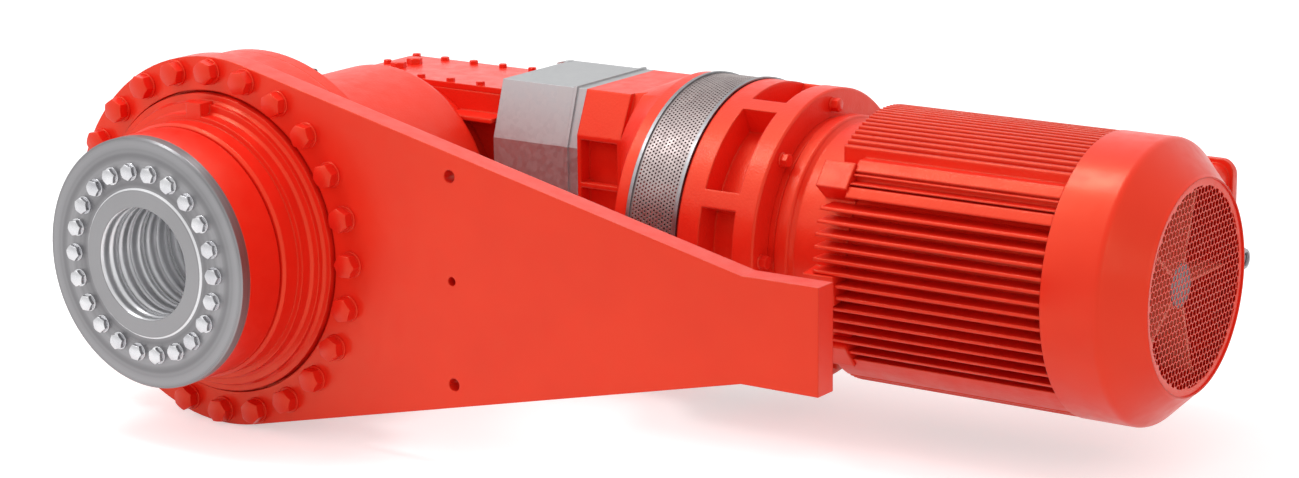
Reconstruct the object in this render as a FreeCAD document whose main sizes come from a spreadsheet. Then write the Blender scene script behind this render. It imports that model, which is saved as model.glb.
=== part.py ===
import math
import os
import re

import FreeCAD
import Part
import Sketcher

# Shaft-mounted planetary gear motor with a right-angle bevel stage.
# Millimetres, +Z up. The origin is on the axis of the hollow output shaft, in the
# front face of the torque arm. The output faces -Y and the motor line runs to +X.

doc = FreeCAD.newDocument("PlanetaryGearMotor")
sheet = doc.addObject("Spreadsheet::Sheet", "Sizes")

# A formula for nought, and how far a cutting piece runs past a face
NOUGHT = "0 * seat_gap"
PAST = 1.0

# Driving sizes: name, value in millimetres, degrees or a plain count
SIZES = [
    # General
    ("running_gap", 0.3),
    ("seat_gap", 0.15),
    ("shaft_fit", 0.05),
    # Hollow output shaft
    ("bore_radius", 90),
    ("bore_depth", 190),
    ("bore_groove_depth", 3),
    ("bore_groove_width", 9),
    ("bore_groove_pitch", 30),
    ("bore_groove_count", 5),
    ("shaft_radius", 120),
    ("shaft_proud", 4),
    # Shrink disc
    ("disc_radius", 200),
    ("disc_face_depth", 168),
    ("disc_flange", 20),
    ("disc_length", 92),
    ("disc_cone_thick", 18),
    ("disc_cone_thin", 8),
    ("disc_edge", 3),
    ("disc_screw_circle", 145),
    ("disc_screw_count", 22),
    ("disc_screw_flats", 24),
    ("disc_screw_head", 10),
    # Seal cover, in steps that widen towards the arm
    ("cover_bolt_gap", 32),
    ("cover_rim", 13),
    ("cover_ledge", 15),
    ("cover_shoulder", 9),
    ("cover_depth", 74),
    ("cover_step_one", 32),
    ("cover_step_two", 22),
    ("cover_step_three", 12),
    ("cover_wall", 26),
    ("cover_round", 4),
    ("cover_lug_width", 30),
    ("cover_lug_length", 30),
    ("cover_lug_height", 30),
    ("seal_width", 16),
    ("seal_height", 22),
    # Torque arm
    ("arm_thickness", 40),
    ("arm_lip", 8),
    ("arm_neck_length", 996),
    ("arm_length", 1126),
    ("arm_half_height", 80),
    ("arm_hole_distance", 474),
    ("arm_hole_spread", 163),
    ("arm_hole_radius", 10),
    ("arm_centre_hole_radius", 7),
    ("arm_groove", 4),
    ("arm_groove_depth", 12),
    ("arm_bolt_inset", 18),
    ("arm_bolt_count", 24),
    ("arm_bolt_flats", 36),
    ("arm_bolt_head", 20),
    # Planetary stage
    ("ring_radius", 292),
    ("ring_rim", 46.375),
    ("pressure_angle", 20),
    ("tip_factor", 1),
    ("root_factor", 1.2),
    ("ring_root_factor", 1.25),
    ("sun_teeth", 15),
    ("planet_teeth", 24),
    ("planet_count", 3),
    ("gear_backlash", 0.35),
    ("ring_width", 60),
    ("gear_side_gap", 4),
    ("pin_radius", 32),
    ("carrier_wall", 20),
    ("carrier_radius", 204),
    ("carrier_gap", 6),
    ("carrier_web_angle", 24),
    ("carrier_web_inner", 96),
    ("carrier_web_outer", 170),
    ("carrier_hub_radius", 110),
    # Output bearings
    ("bearing_width", 40),
    ("bearing_height", 48),
    ("bearing_split", 0.6),
    # Drum between the planetary stage and the bevel housing
    ("drum_flange", 28),
    ("drum_radius", 219),
    ("drum_wall", 14),
    ("drum_length", 313),
    ("drum_nose_radius", 16),
    ("drum_edge", 3),
    ("drum_neck_radius", 188),
    ("drum_neck_length", 43),
    ("breather_size", 22),
    ("breather_height", 23),
    ("breather_place", 110),
    # Bevel housing
    ("housing_radius", 180),
    ("housing_width", 166),
    ("housing_reach", 246),
    ("housing_wall", 14),
    ("housing_cavity_reach", 196),
    ("housing_pocket_depth", 36),
    ("housing_pocket_top", 138),
    ("housing_pocket_foot", 78),
    ("housing_shoulder", 124),
    ("housing_shoulder_foot", 60),
    ("shelf_top", 146),
    ("shelf_thick", 7),
    ("shelf_shell_gap", 5),
    ("top_cover_start", -112),
    ("top_cover_end", 240),
    ("top_cover_thick", 10),
    ("top_bolt_pitch", 63),
    ("top_bolt_count", 6),
    ("top_bolt_flats", 13),
    ("top_bolt_head", 6),
    ("top_bolt_inset", 10),
    ("rear_cap_radius", 92),
    ("rear_cap_thick", 22),
    ("rear_bolt_circle", 78),
    ("rear_bolt_count", 6),
    ("plug_flats", 30),
    ("plug_height", 14),
    ("plug_spread", 110),
    ("cover_plug_flats", 24),
    ("cover_plug_height", 10),
    ("cover_plug_place", 60),
    ("cover_plug_spread", 22),
    # Bevel stage
    ("bevel_module", 6),
    ("pinion_teeth", 13),
    ("wheel_teeth", 39),
    ("bevel_inner", 27),
    ("bevel_backlash", 0.3),
    ("wheel_backing", 22),
    ("sun_shaft_radius", 38),
    ("sun_bearing_width", 28),
    ("sun_bearing_height", 32),
    # Input line
    ("line_distance", 567),
    ("pinion_shaft_radius", 28),
    ("neck_nose_radius", 68),
    ("neck_radius", 82),
    ("neck_flange_radius", 108),
    ("pinion_bearing_height", 30),
    ("pinion_bearing_width", 26),
    ("fan_side_shaft", 24),
    # Air guide shell and fan housing share one section
    ("section_side", 127),
    ("section_shoulder", 117),
    ("section_top_half", 97),
    ("section_top", 211),
    ("section_slant_share", 0.73),
    ("shell_start", 223),
    ("shell_sheet", 3),
    ("shell_bead_place", 24),
    ("shell_bead_width", 6),
    ("shell_bead_height", 3),
    ("block_shoulder", 140),
    ("block_slant_share", 0.66),
    ("block_start", 394),
    ("block_length", 86),
    ("block_wall", 14),
    ("flare_length", 60),
    ("flare_set_back", 10),
    ("notch_foot", 2),
    ("notch_width", 28),
    ("notch_depth", 9),
    ("block_pocket_depth", 24),
    ("block_pocket_margin", 7),
    ("block_rib", 8),
    ("block_rib_place", 58),
    ("flange_radius", 236),
    ("flange_length", 23),
    ("flange_edge", 3),
    # Perforated guard and cooling fan
    ("guard_sheet", 2.5),
    ("guard_end", 659),
    ("trim_width", 6),
    ("trim_height", 3),
    ("fan_radius", 190),
    ("fan_hub_radius", 52),
    ("fan_plate", 6),
    ("fan_blade_width", 44),
    ("fan_blade_thick", 6),
    ("fan_blade_count", 8),
    # Lantern
    ("lantern_end", 802),
    ("lantern_wall", 22),
    ("lantern_plate", 16),
    ("window_start", 42),
    ("window_end", 105),
    ("window_count", 8),
    ("window_floor_radius", 190),
    ("window_floor", 8),
    ("window_bar_angle", 7),
    ("lantern_neck_radius", 192),
    ("lantern_bolt_circle", 212),
    ("lantern_bolt_count", 8),
    ("lantern_bolt_turn", 18),
    ("lantern_bolt_flats", 19),
    ("lantern_bolt_head", 15),
    # Coupling
    ("coupling_radius", 74),
    ("coupling_start", 676),
    ("coupling_half", 42),
    ("coupling_gap", 20),
    ("claw_count", 4),
    ("claw_angle", 36),
    # Motor
    ("motor_radius", 220),
    ("motor_flange_start", 814),
    ("motor_flange", 26),
    ("motor_flange_radius", 196),
    ("shield_neck_radius", 186),
    ("shield_end", 940),
    ("shield_wall", 14),
    ("lug_start", 886),
    ("lug_reach", 224),
    ("lug_side", 46),
    ("lug_angle", 40),
    ("lug_tilt", 7),
    ("frame_end", 1292),
    ("frame_tube_radius", 184),
    ("frame_bore", 166),
    ("fin_overhang", 38),
    ("fin_pitch", 19),
    ("fin_thick", 5),
    ("side_fin_count", 13),
    ("side_fin_lowest", -133),
    ("upper_pad_one", 121),
    ("upper_pad_two", 157),
    ("upper_pad_thick", 15),
    ("pad_floor_half", 156),
    ("foot_pad_top", -146),
    ("foot_pad_foot", -188),
    ("top_fin_pitch", 10.5),
    ("top_fin_thick", 4),
    ("top_fin_count", 25),
    ("pad_depth", 40),
    ("stator_length", 250),
    ("stator_bore", 112),
    ("winding_length", 46),
    ("winding_inner", 118),
    ("winding_outer", 158),
    ("air_gap", 1.5),
    ("motor_shaft_radius", 34),
    ("motor_bearing_width", 32),
    ("motor_bearing_height", 36),
    ("cowl_radius", 221),
    ("cowl_sheet", 3),
    ("cowl_straight", 91),
    ("cowl_end", 1440),
    ("cowl_mouth_radius", 170),
    ("cowl_lip", 5),
    ("grille_thick", 3),
    ("grille_pitch", 46),
    ("grille_bar", 9),
    ("motor_fan_radius", 150),
    ("motor_fan_hub_radius", 36),
    ("motor_fan_setback", 22),
    ("motor_fan_blade_count", 5),
    ("motor_fan_blade_thick", 5),
    ("motor_fan_blade_width", 50),
    ("motor_fan_disc", 5),
    # Terminal box
    ("box_start", 1110),
    ("box_length", 235),
    ("box_half_height", 120),
    ("box_reach", 127),
    ("box_wall", 8),
    ("box_foot_half", 70),
    ("box_foot_inset", 54),
    ("box_lift", 10),
    ("box_round", 22),
    ("box_rim", 7),
    ("box_rim_thick", 12),
    ("lid_thick", 27),
    ("gland_radius", 19),
    ("gland_bore", 9),
    ("gland_length", 49),
    ("gland_drop", 20),
    ("gland_collar", 10),
]

for row, (name, value) in enumerate(SIZES, start=1):
    sheet.set("A%d" % row, name)
    sheet.set("B%d" % row, str(value))
    sheet.setAlias("B%d" % row, name)
doc.recompute()

# Places and sizes worked out from the driving ones
WORKED = {
    "ring_teeth": "sun_teeth + 2 * planet_teeth",
    "gear_module": "(ring_radius - ring_rim) / (ring_teeth / 2 + ring_root_factor)",
    "arm_bolt_circle": "ring_radius - arm_bolt_inset",
    "arm_ring_radius": "ring_radius + arm_lip",
    "cover_radius_four": "arm_bolt_circle - cover_bolt_gap",
    "cover_radius_three": "cover_radius_four - cover_rim",
    "cover_radius_two": "cover_radius_three - cover_ledge",
    "cover_radius_one": "cover_radius_two - cover_shoulder",
    "centre_distance": "gear_module * (sun_teeth + planet_teeth) / 2",
    "disc_back": "disc_length - disc_face_depth",
    "cover_front": "0 - cover_depth",
    "ring_front": "arm_thickness",
    "ring_back": "arm_thickness + ring_width",
    "gear_front": "ring_front + gear_side_gap",
    "gear_back": "ring_back - gear_side_gap",
    "wall_one_back": "gear_front - carrier_gap",
    "wall_one_front": "wall_one_back - carrier_wall",
    "wall_two_front": "gear_back + carrier_gap",
    "wall_two_back": "wall_two_front + carrier_wall",
    "bore_end": "bore_depth - disc_face_depth - shaft_proud",
    "bearing_one_back": "wall_one_front - carrier_gap",
    "bearing_one_front": "bearing_one_back - bearing_width",
    "bearing_seat": "shaft_radius + bearing_height",
    "bearing_two_front": "wall_two_back + carrier_gap",
    "bearing_two_back": "bearing_two_front + bearing_width",
    "bearing_two_seat": "carrier_hub_radius + bearing_height",
    "drum_front": "ring_back",
    "drum_flange_back": "drum_front + drum_flange",
    "drum_back": "drum_flange_back + drum_length",
    "housing_front": "drum_back + drum_neck_length",
    "housing_back": "housing_front + housing_width",
    "top_of_cover": "housing_radius + top_cover_thick",
    "top_cover_width": "housing_width",
    "top_cover_front": "line_distance - top_cover_width / 2",
    "rear_cap_back": "housing_back + rear_cap_thick",
    "pitch_wheel": "bevel_module * wheel_teeth / 2",
    "pitch_pinion": "bevel_module * pinion_teeth / 2",
    "wheel_back": "line_distance - pitch_pinion - wheel_backing",
    "sun_bearing_front": "wheel_back - carrier_gap - sun_bearing_width",
    "sun_bearing_seat": "sun_shaft_radius + sun_bearing_height",
    "rear_bearing_front": "housing_back - housing_wall - sun_bearing_width",
    "pinion_inner": "bevel_inner * pitch_wheel / pitch_pinion",
    "pinion_bearing_one": "pitch_wheel + 6 * carrier_gap",
    "neck_bore": "pinion_shaft_radius + pinion_bearing_height",
    "pinion_bearing_two": "block_start - 2 * pinion_bearing_width",
    "block_end": "block_start + block_length",
    "flange_start": "block_end + flare_length",
    "flange_end": "flange_start + flange_length",
    "guard_start": "flange_end",
    "shell_length": "block_start - shell_start",
    "fan_centre": "(guard_start + guard_end) / 2",
    "coupling_middle": "coupling_start + coupling_half",
    "coupling_second": "coupling_middle + coupling_gap",
    "motor_flange_end": "motor_flange_start + motor_flange",
    "frame_length": "frame_end - shield_end",
    "fin_start": "shield_end - fin_overhang",
    "fin_length": "frame_end - fin_start",
    "frame_middle": "(shield_end + frame_end) / 2",
    "stator_start": "frame_middle - stator_length / 2",
    "cone_start": "frame_end + cowl_straight",
    "motor_bearing_seat": "motor_shaft_radius + motor_bearing_height",
    "shield_bearing": "motor_flange_end + 2 * carrier_gap",
    "rear_shield_bearing": "frame_end - motor_bearing_width",
    "grille_face": "cowl_end - cowl_sheet",
    "motor_fan_front": "grille_face - grille_thick - motor_fan_setback - motor_fan_blade_width",
    "motor_shaft_end": "motor_fan_front + motor_fan_blade_width + 4 * running_gap",
    "box_seat": "line_distance + motor_radius - pad_depth",
    "box_back": "line_distance + motor_radius + box_lift",
    "lid_seat": "box_face - lid_thick",
    "box_end": "box_start + box_length",
    "box_face": "line_distance + motor_radius + box_reach",
    "gland_height": "0 - gland_drop",
}


def formula(text):
    """Turn a formula of size names into an expression on the sheet."""
    def name(match):
        word = match.group(0)
        if word in WORKED:
            return "(" + formula(WORKED[word]) + ")"
        return "Sizes." + word
    return re.sub(r"\b(?!(?:sin|cos|tan|sqrt|deg)\b)[a-z][a-z_]+\b", name, text)


def size(text):
    """The value of a formula of size names."""
    return float(sheet.evalExpression(formula(text)))


def bind(thing, prop, text):
    thing.setExpression(prop, formula(text))


def origin_plane(body, role):
    for feature in body.Origin.OriginFeatures:
        if feature.Role == role:
            return feature
    raise ValueError(role)


def new_body(label, at=None):
    """A body whose place is given by formulas for x, y and z."""
    body = doc.addObject("PartDesign::Body", label)
    body.Label = label
    body.AllowCompound = True
    place(body, at)
    return body


def place(thing, at):
    for letter, text in zip("xyz", at or ()):
        if text:
            bind(thing, "Placement.Base." + letter, text)


def new_sketch(body, plane, name, lift=None):
    sketch = body.newObject("Sketcher::SketchObject", body.Label + "_" + name)
    sketch.AttachmentSupport = [(origin_plane(body, plane), "")]
    sketch.MapMode = "FlatFace"
    if lift:
        bind(sketch, "AttachmentOffset.Base.z", lift)
    return sketch


def hold(sketch, shape, point, axis, text):
    """Hold one coordinate of a sketch point at a formula."""
    value = size(text)
    kind = "DistanceX" if axis == 0 else "DistanceY"
    if abs(value) < 1e-9:
        sketch.addConstraint(Sketcher.Constraint("PointOnObject", shape, point, -2 + axis))
        return
    number = sketch.addConstraint(Sketcher.Constraint(kind, -1, 1, shape, point, value))
    sketch.setExpression("Constraints[%d]" % number, formula(text))


def outline(sketch, corners):
    """A closed outline. A corner is two formulas; a third one rounds or bevels it."""
    points = [FreeCAD.Vector(size(c[0]), size(c[1]), 0) for c in corners]
    count = len(points)
    starts = list(points)
    ends = list(points)
    for i, corner in enumerate(corners):
        if len(corner) > 2:
            before = (points[i - 1] - points[i]).normalize()
            after = (points[(i + 1) % count] - points[i]).normalize()
            reach = size(corner[2])
            if "bevel" not in corner:
                reach = reach / math.tan(before.getAngle(after) / 2)
            ends[i] = points[i] + before * reach
            starts[i] = points[i] + after * reach
    lines = [sketch.addGeometry(Part.LineSegment(starts[i], ends[(i + 1) % count]), False)
             for i in range(count)]
    for i, corner in enumerate(corners):
        before, after = lines[i - 1], lines[i]
        if len(corner) == 2:
            sketch.addConstraint(Sketcher.Constraint("Coincident", before, 2, after, 1))
            hold(sketch, after, 1, 0, corner[0])
            hold(sketch, after, 1, 1, corner[1])
            continue
        mark = sketch.addGeometry(Part.Point(points[i]), True)
        sketch.addConstraint(Sketcher.Constraint("PointOnObject", mark, 1, before))
        sketch.addConstraint(Sketcher.Constraint("PointOnObject", mark, 1, after))
        hold(sketch, mark, 1, 0, corner[0])
        hold(sketch, mark, 1, 1, corner[1])
        if "bevel" in corner:
            join_bevel(sketch, before, after, mark, ends[i], starts[i], corner[2])
        else:
            join_round(sketch, before, after, points[i], ends[i], starts[i], corner[2])


def join_bevel(sketch, before, after, mark, end, start, reach):
    edge = sketch.addGeometry(Part.LineSegment(end, start), False)
    sketch.addConstraint(Sketcher.Constraint("Coincident", before, 2, edge, 1))
    sketch.addConstraint(Sketcher.Constraint("Coincident", edge, 2, after, 1))
    for point in (1, 2):
        number = sketch.addConstraint(
            Sketcher.Constraint("Distance", mark, 1, edge, point, size(reach)))
        sketch.setExpression("Constraints[%d]" % number, formula(reach))


def join_round(sketch, before, after, corner, end, start, rounding):
    one = (end - corner).normalize()
    two = (start - corner).normalize()
    middle = (one + two).normalize()
    radius = size(rounding)
    centre = corner + middle * (radius / math.sin(one.getAngle(two) / 2))
    arc = sketch.addGeometry(Part.Arc(end, centre - middle * radius, start), False)
    first, last = (1, 2) if one.cross(two).z < 0 else (2, 1)
    sketch.addConstraint(Sketcher.Constraint("Tangent", before, 2, arc, first))
    sketch.addConstraint(Sketcher.Constraint("Tangent", after, 1, arc, last))
    number = sketch.addConstraint(Sketcher.Constraint("Radius", arc, radius))
    sketch.setExpression("Constraints[%d]" % number, formula(rounding))


def turned(label, corners, line=False, at=None):
    """A turned piece: corners are (radius, y), or (x, radius) on the motor line."""
    body = new_body(label, at or (("", "line_distance", "") if line else None))
    add_turn(body, "profile", corners, line)
    return body


def add_turn(body, name, corners, line=False):
    sketch = new_sketch(body, "XY_Plane", name)
    outline(sketch, [c + ("bevel",) if len(c) == 3 else c for c in corners])
    turn = body.newObject("PartDesign::Revolution", body.Label + "_" + name + "_turn")
    turn.Profile = sketch
    turn.ReferenceAxis = (sketch, ["H_Axis"] if line else ["V_Axis"])
    turn.Angle = 360
    body.Tip = turn
    return turn


def tube(inner, outer, start, end, line=False):
    """Corners of a plain ring between two radii and two stations."""
    if line:
        return [(start, inner), (start, outer), (end, outer), (end, inner)]
    return [(inner, start), (outer, start), (outer, end), (inner, end)]


def flats(sketch, count, across, centre=(NOUGHT, NOUGHT), turn=0):
    """A regular polygon given by its size across flats, with its first corner at a turn."""
    reach = "%s / (2 * cos(%.10f deg))" % (across, 180.0 / count)
    corners = []
    for i in range(count):
        angle = turn + 360.0 * i / count
        corners.append(("(%s) + (%s) * cos(%.10f deg)" % (centre[0], reach, angle),
                        "(%s) + (%s) * sin(%.10f deg)" % (centre[1], reach, angle)))
    outline(sketch, corners)


def ring_of_heads(label, circle, count, across, head, seat, line=False, facing=-1,
                  turn=None):
    """Hexagon bolt heads on a circle, standing on a seat face and facing one way."""
    body = new_body(label, ("", "line_distance", "") if line else None)
    plane = "YZ_Plane" if line else "XZ_Plane"
    sign = "" if line else "0 - "
    sketch = new_sketch(body, plane, "head", sign + "(%s)" % seat)
    flats(sketch, 6, across, (circle, NOUGHT))
    pad = body.newObject("PartDesign::Pad", label + "_pad")
    pad.Profile = sketch
    bind(pad, "Length", head)
    pad.Reversed = (facing > 0) != line
    ring = body.newObject("PartDesign::PolarPattern", label + "_ring")
    ring.Originals = [pad]
    ring.Axis = (sketch, ["N_Axis"])
    ring.Angle = 360
    bind(ring, "Occurrences", count)
    body.Tip = ring
    if turn:
        body.Placement.Rotation = FreeCAD.Rotation(FreeCAD.Vector(1, 0, 0), 1)
        bind(body, "Placement.Rotation.Angle", turn)
    return body


def along(thing, axis):
    """Lay a cylinder, which stands along Z, along X or Y."""
    turns = {"X": (FreeCAD.Vector(0, 1, 0), 90), "Y": (FreeCAD.Vector(1, 0, 0), -90)}
    if axis in turns:
        thing.Placement.Rotation = FreeCAD.Rotation(*turns[axis])


def rod(name, radius, length, at, axis):
    piece = doc.addObject("Part::Cylinder", name)
    bind(piece, "Radius", radius)
    bind(piece, "Height", length)
    along(piece, axis)
    place(piece, at)
    return piece


def block(name, lengths, at):
    piece = doc.addObject("Part::Box", name)
    for prop, text in zip(("Length", "Width", "Height"), lengths):
        bind(piece, prop, text)
    place(piece, at)
    return piece


def joined(name, pieces):
    fuse = doc.addObject("Part::MultiFuse", name)
    fuse.Shapes = pieces
    return fuse


def cut(name, base, tool):
    result = doc.addObject("Part::Cut", name)
    result.Base = base
    result.Tool = tool
    return result


def shaped(label, shape):
    """A piece whose form is worked out here from the sheet's sizes."""
    piece = doc.addObject("Part::Feature", label)
    piece.Label = label
    piece.Shape = shape
    return piece


PARTS = []


def keep(piece):
    """Put a finished piece on the list of those that are written."""
    PARTS.append(piece)


# Output side


def hollow_shaft():
    front = "0 - disc_face_depth - shaft_proud"
    corners = [("bore_radius", front), ("shaft_radius", front, "shaft_proud"),
               ("shaft_radius", "wall_one_front"), ("carrier_radius", "wall_one_front"),
               ("carrier_radius", "wall_one_back"), (NOUGHT, "wall_one_back"),
               (NOUGHT, "bore_end"), ("bore_radius", "bore_end")]
    body = turned("hollow_shaft", corners)
    sketch = new_sketch(body, "XY_Plane", "groove")
    groove_front = front + " + bore_groove_pitch"
    outline(sketch, tube("bore_radius - bore_groove_depth", "bore_radius + bore_groove_depth",
                         groove_front, groove_front + " + bore_groove_width"))
    groove = body.newObject("PartDesign::Groove", "bore_groove")
    groove.Profile = sketch
    groove.ReferenceAxis = (sketch, ["V_Axis"])
    groove.Angle = 360
    rings = body.newObject("PartDesign::LinearPattern", "bore_grooves")
    rings.Originals = [groove]
    rings.Direction = (sketch, ["V_Axis"])
    rings.Mode = "Spacing"
    bind(rings, "Offset", "bore_groove_pitch")
    bind(rings, "Occurrences", "bore_groove_count")
    body.Tip = rings
    holes = new_sketch(body, "XZ_Plane", "pin_holes", "0 - wall_one_back")
    circle_at(holes, "centre_distance", NOUGHT, "pin_radius + shaft_fit")
    pocket = body.newObject("PartDesign::Pocket", "pin_hole")
    pocket.Profile = holes
    bind(pocket, "Length", "carrier_wall")
    pocket.Reversed = True
    around = body.newObject("PartDesign::PolarPattern", "pin_holes")
    around.Originals = [pocket]
    around.Axis = (holes, ["N_Axis"])
    around.Angle = 360
    bind(around, "Occurrences", "planet_count")
    body.Tip = around
    keep(body)


def circle_at(sketch, x, y, radius):
    centre = FreeCAD.Vector(size(x), size(y), 0)
    shape = sketch.addGeometry(
        Part.Circle(centre, FreeCAD.Vector(0, 0, 1), size(radius)), False)
    number = sketch.addConstraint(Sketcher.Constraint("Radius", shape, size(radius)))
    sketch.setExpression("Constraints[%d]" % number, formula(radius))
    hold(sketch, shape, 3, 0, x)
    hold(sketch, shape, 3, 1, y)


def shrink_disc():
    face = "0 - disc_face_depth"
    flange_back = face + " + disc_flange"
    cone_front = "shaft_radius + disc_cone_thick"
    cone_back = "shaft_radius + disc_cone_thin"
    keep(turned("shrink_disc_inner_ring", [
        ("shaft_radius + shaft_fit", face), ("disc_radius", face, "disc_edge"),
        ("disc_radius", flange_back), (cone_front, flange_back),
        (cone_back, "disc_back"), ("shaft_radius + shaft_fit", "disc_back")]))
    keep(turned("shrink_disc_outer_ring", [
        (cone_front + " + seat_gap", flange_back), ("disc_radius", flange_back),
        ("disc_radius", "disc_back", "disc_edge"), (cone_back + " + seat_gap", "disc_back")]))
    keep(ring_of_heads("shrink_disc_screws", "disc_screw_circle", "disc_screw_count",
                       "disc_screw_flats", "disc_screw_head", face))


def seal_cover():
    back_one = "cover_front + cover_step_one"
    back_two = back_one + " + cover_step_two"
    back_three = back_two + " + cover_step_three"
    seal_back = "cover_front + seal_width"
    cover = turned("output_cover_turned", [
        ("shaft_radius + seal_height", "cover_front"),
        ("cover_radius_one", "cover_front", "cover_round"), ("cover_radius_one", back_one),
        ("cover_radius_two", back_one), ("cover_radius_two", back_two, "cover_round"),
        ("cover_radius_three", back_two), ("cover_radius_three", back_three, "cover_round"),
        ("cover_radius_four", back_three), ("cover_radius_four", "ring_front"),
        ("cover_radius_four - cover_wall", "ring_front"),
        ("cover_radius_four - cover_wall", "wall_one_front - carrier_gap"),
        ("bearing_seat + seat_gap", "wall_one_front - carrier_gap"),
        ("bearing_seat + seat_gap", "bearing_one_front"),
        ("shaft_radius + 2 * running_gap", "bearing_one_front"),
        ("shaft_radius + 2 * running_gap", seal_back),
        ("shaft_radius + seal_height", seal_back)])
    lug = block("cover_lug", ("cover_lug_width", "cover_lug_length", "cover_lug_height"),
                ("0 - cover_lug_width / 2", back_one + " - seat_gap",
                 "cover_radius_three + cover_round - cover_lug_height"))
    keep(joined("output_cover", [cover, lug]))
    keep(turned("shaft_seal", tube("shaft_radius + running_gap",
                                   "shaft_radius + seal_height - seat_gap",
                                   "cover_front", seal_back)))


def torque_arm():
    body = new_body("torque_arm")
    sketch = new_sketch(body, "XZ_Plane", "outline")
    radius = size("arm_ring_radius")
    neck, tip, half = size("arm_neck_length"), size("arm_length"), size("arm_half_height")
    lean = math.atan2(half, neck) + math.acos(radius / math.hypot(neck, half))
    touch = FreeCAD.Vector(radius * math.cos(lean), radius * math.sin(lean), 0)
    circle = Part.Circle(FreeCAD.Vector(0, 0, 0), FreeCAD.Vector(0, 0, 1), radius)
    ring = sketch.addGeometry(Part.ArcOfCircle(circle, lean, 2 * math.pi - lean), False)
    corners = [touch, FreeCAD.Vector(neck, half, 0), FreeCAD.Vector(tip, half, 0),
               FreeCAD.Vector(tip, -half, 0), FreeCAD.Vector(neck, -half, 0),
               FreeCAD.Vector(touch.x, -touch.y, 0)]
    lines = [sketch.addGeometry(Part.LineSegment(a, b), False)
             for a, b in zip(corners, corners[1:])]
    sketch.addConstraint(Sketcher.Constraint("Coincident", ring, 3, -1, 1))
    sketch.addConstraint(Sketcher.Constraint("Tangent", lines[0], 1, ring, 1))
    sketch.addConstraint(Sketcher.Constraint("Tangent", lines[4], 2, ring, 2))
    for one, two in zip(lines, lines[1:]):
        sketch.addConstraint(Sketcher.Constraint("Coincident", one, 2, two, 1))
    number = sketch.addConstraint(Sketcher.Constraint("Radius", ring, radius))
    sketch.setExpression("Constraints[%d]" % number, formula("arm_ring_radius"))
    for line, x, y in ((1, "arm_neck_length", "arm_half_height"),
                       (2, "arm_length", "arm_half_height"),
                       (3, "arm_length", "0 - arm_half_height"),
                       (4, "arm_neck_length", "0 - arm_half_height")):
        hold(sketch, lines[line], 1, 0, x)
        hold(sketch, lines[line], 1, 1, y)
    pad = body.newObject("PartDesign::Pad", "arm_plate")
    pad.Profile = sketch
    bind(pad, "Length", "arm_thickness")
    pad.Reversed = True
    holes = new_sketch(body, "XZ_Plane", "holes")
    circle_at(holes, NOUGHT, NOUGHT, "cover_radius_four + running_gap")
    circle_at(holes, "arm_hole_distance", "arm_hole_spread", "arm_hole_radius")
    circle_at(holes, "arm_hole_distance", NOUGHT, "arm_centre_hole_radius")
    circle_at(holes, "arm_hole_distance", "0 - arm_hole_spread", "arm_hole_radius")
    pocket = body.newObject("PartDesign::Pocket", "arm_holes")
    pocket.Profile = holes
    bind(pocket, "Length", "arm_thickness")
    pocket.Reversed = False
    ring_groove = new_sketch(body, "XZ_Plane", "groove")
    circle_at(ring_groove, NOUGHT, NOUGHT, "cover_radius_four + arm_groove")
    groove = body.newObject("PartDesign::Pocket", "arm_groove_cut")
    groove.Profile = ring_groove
    bind(groove, "Length", "arm_groove_depth")
    body.Tip = groove
    keep(body)
    keep(ring_of_heads("arm_bolts", "arm_bolt_circle", "arm_bolt_count",
                       "arm_bolt_flats", "arm_bolt_head", NOUGHT))


# Gears with straight-faced involute teeth


def involute(angle):
    return math.tan(angle) - angle


def spur_points(teeth, module, addendum, dedendum, backlash):
    """Corners of a spur gear: root, pitch and tip points on both flanks of each tooth."""
    pressure = math.radians(size("pressure_angle"))
    pitch = module * teeth / 2
    base = pitch * math.cos(pressure)
    radii = [pitch - dedendum, pitch, pitch + addendum]
    corners = []
    for tooth in range(teeth):
        middle = 2 * math.pi * tooth / teeth
        halves = []
        for radius in radii:
            slope = math.acos(min(1.0, base / max(radius, base)))
            half = math.pi / (2 * teeth) + involute(pressure) - involute(slope)
            halves.append(half - backlash / (2 * pitch))
        for radius, half in zip(radii, halves):
            corners.append((radius, middle - half))
        for radius, half in zip(reversed(radii), reversed(halves)):
            corners.append((radius, middle + half))
    return corners


def face_across_y(polar, y):
    """A flat face in the plane y from polar points about the Y axis."""
    points = [FreeCAD.Vector(r * math.cos(a), y, r * math.sin(a)) for r, a in polar]
    return Part.Face(Part.makePolygon(points + points[:1]))


def y_cylinder(radius, start, end, x=0.0, z=0.0):
    return Part.makeCylinder(radius, end - start, FreeCAD.Vector(x, start, z),
                             FreeCAD.Vector(0, 1, 0))


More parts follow.
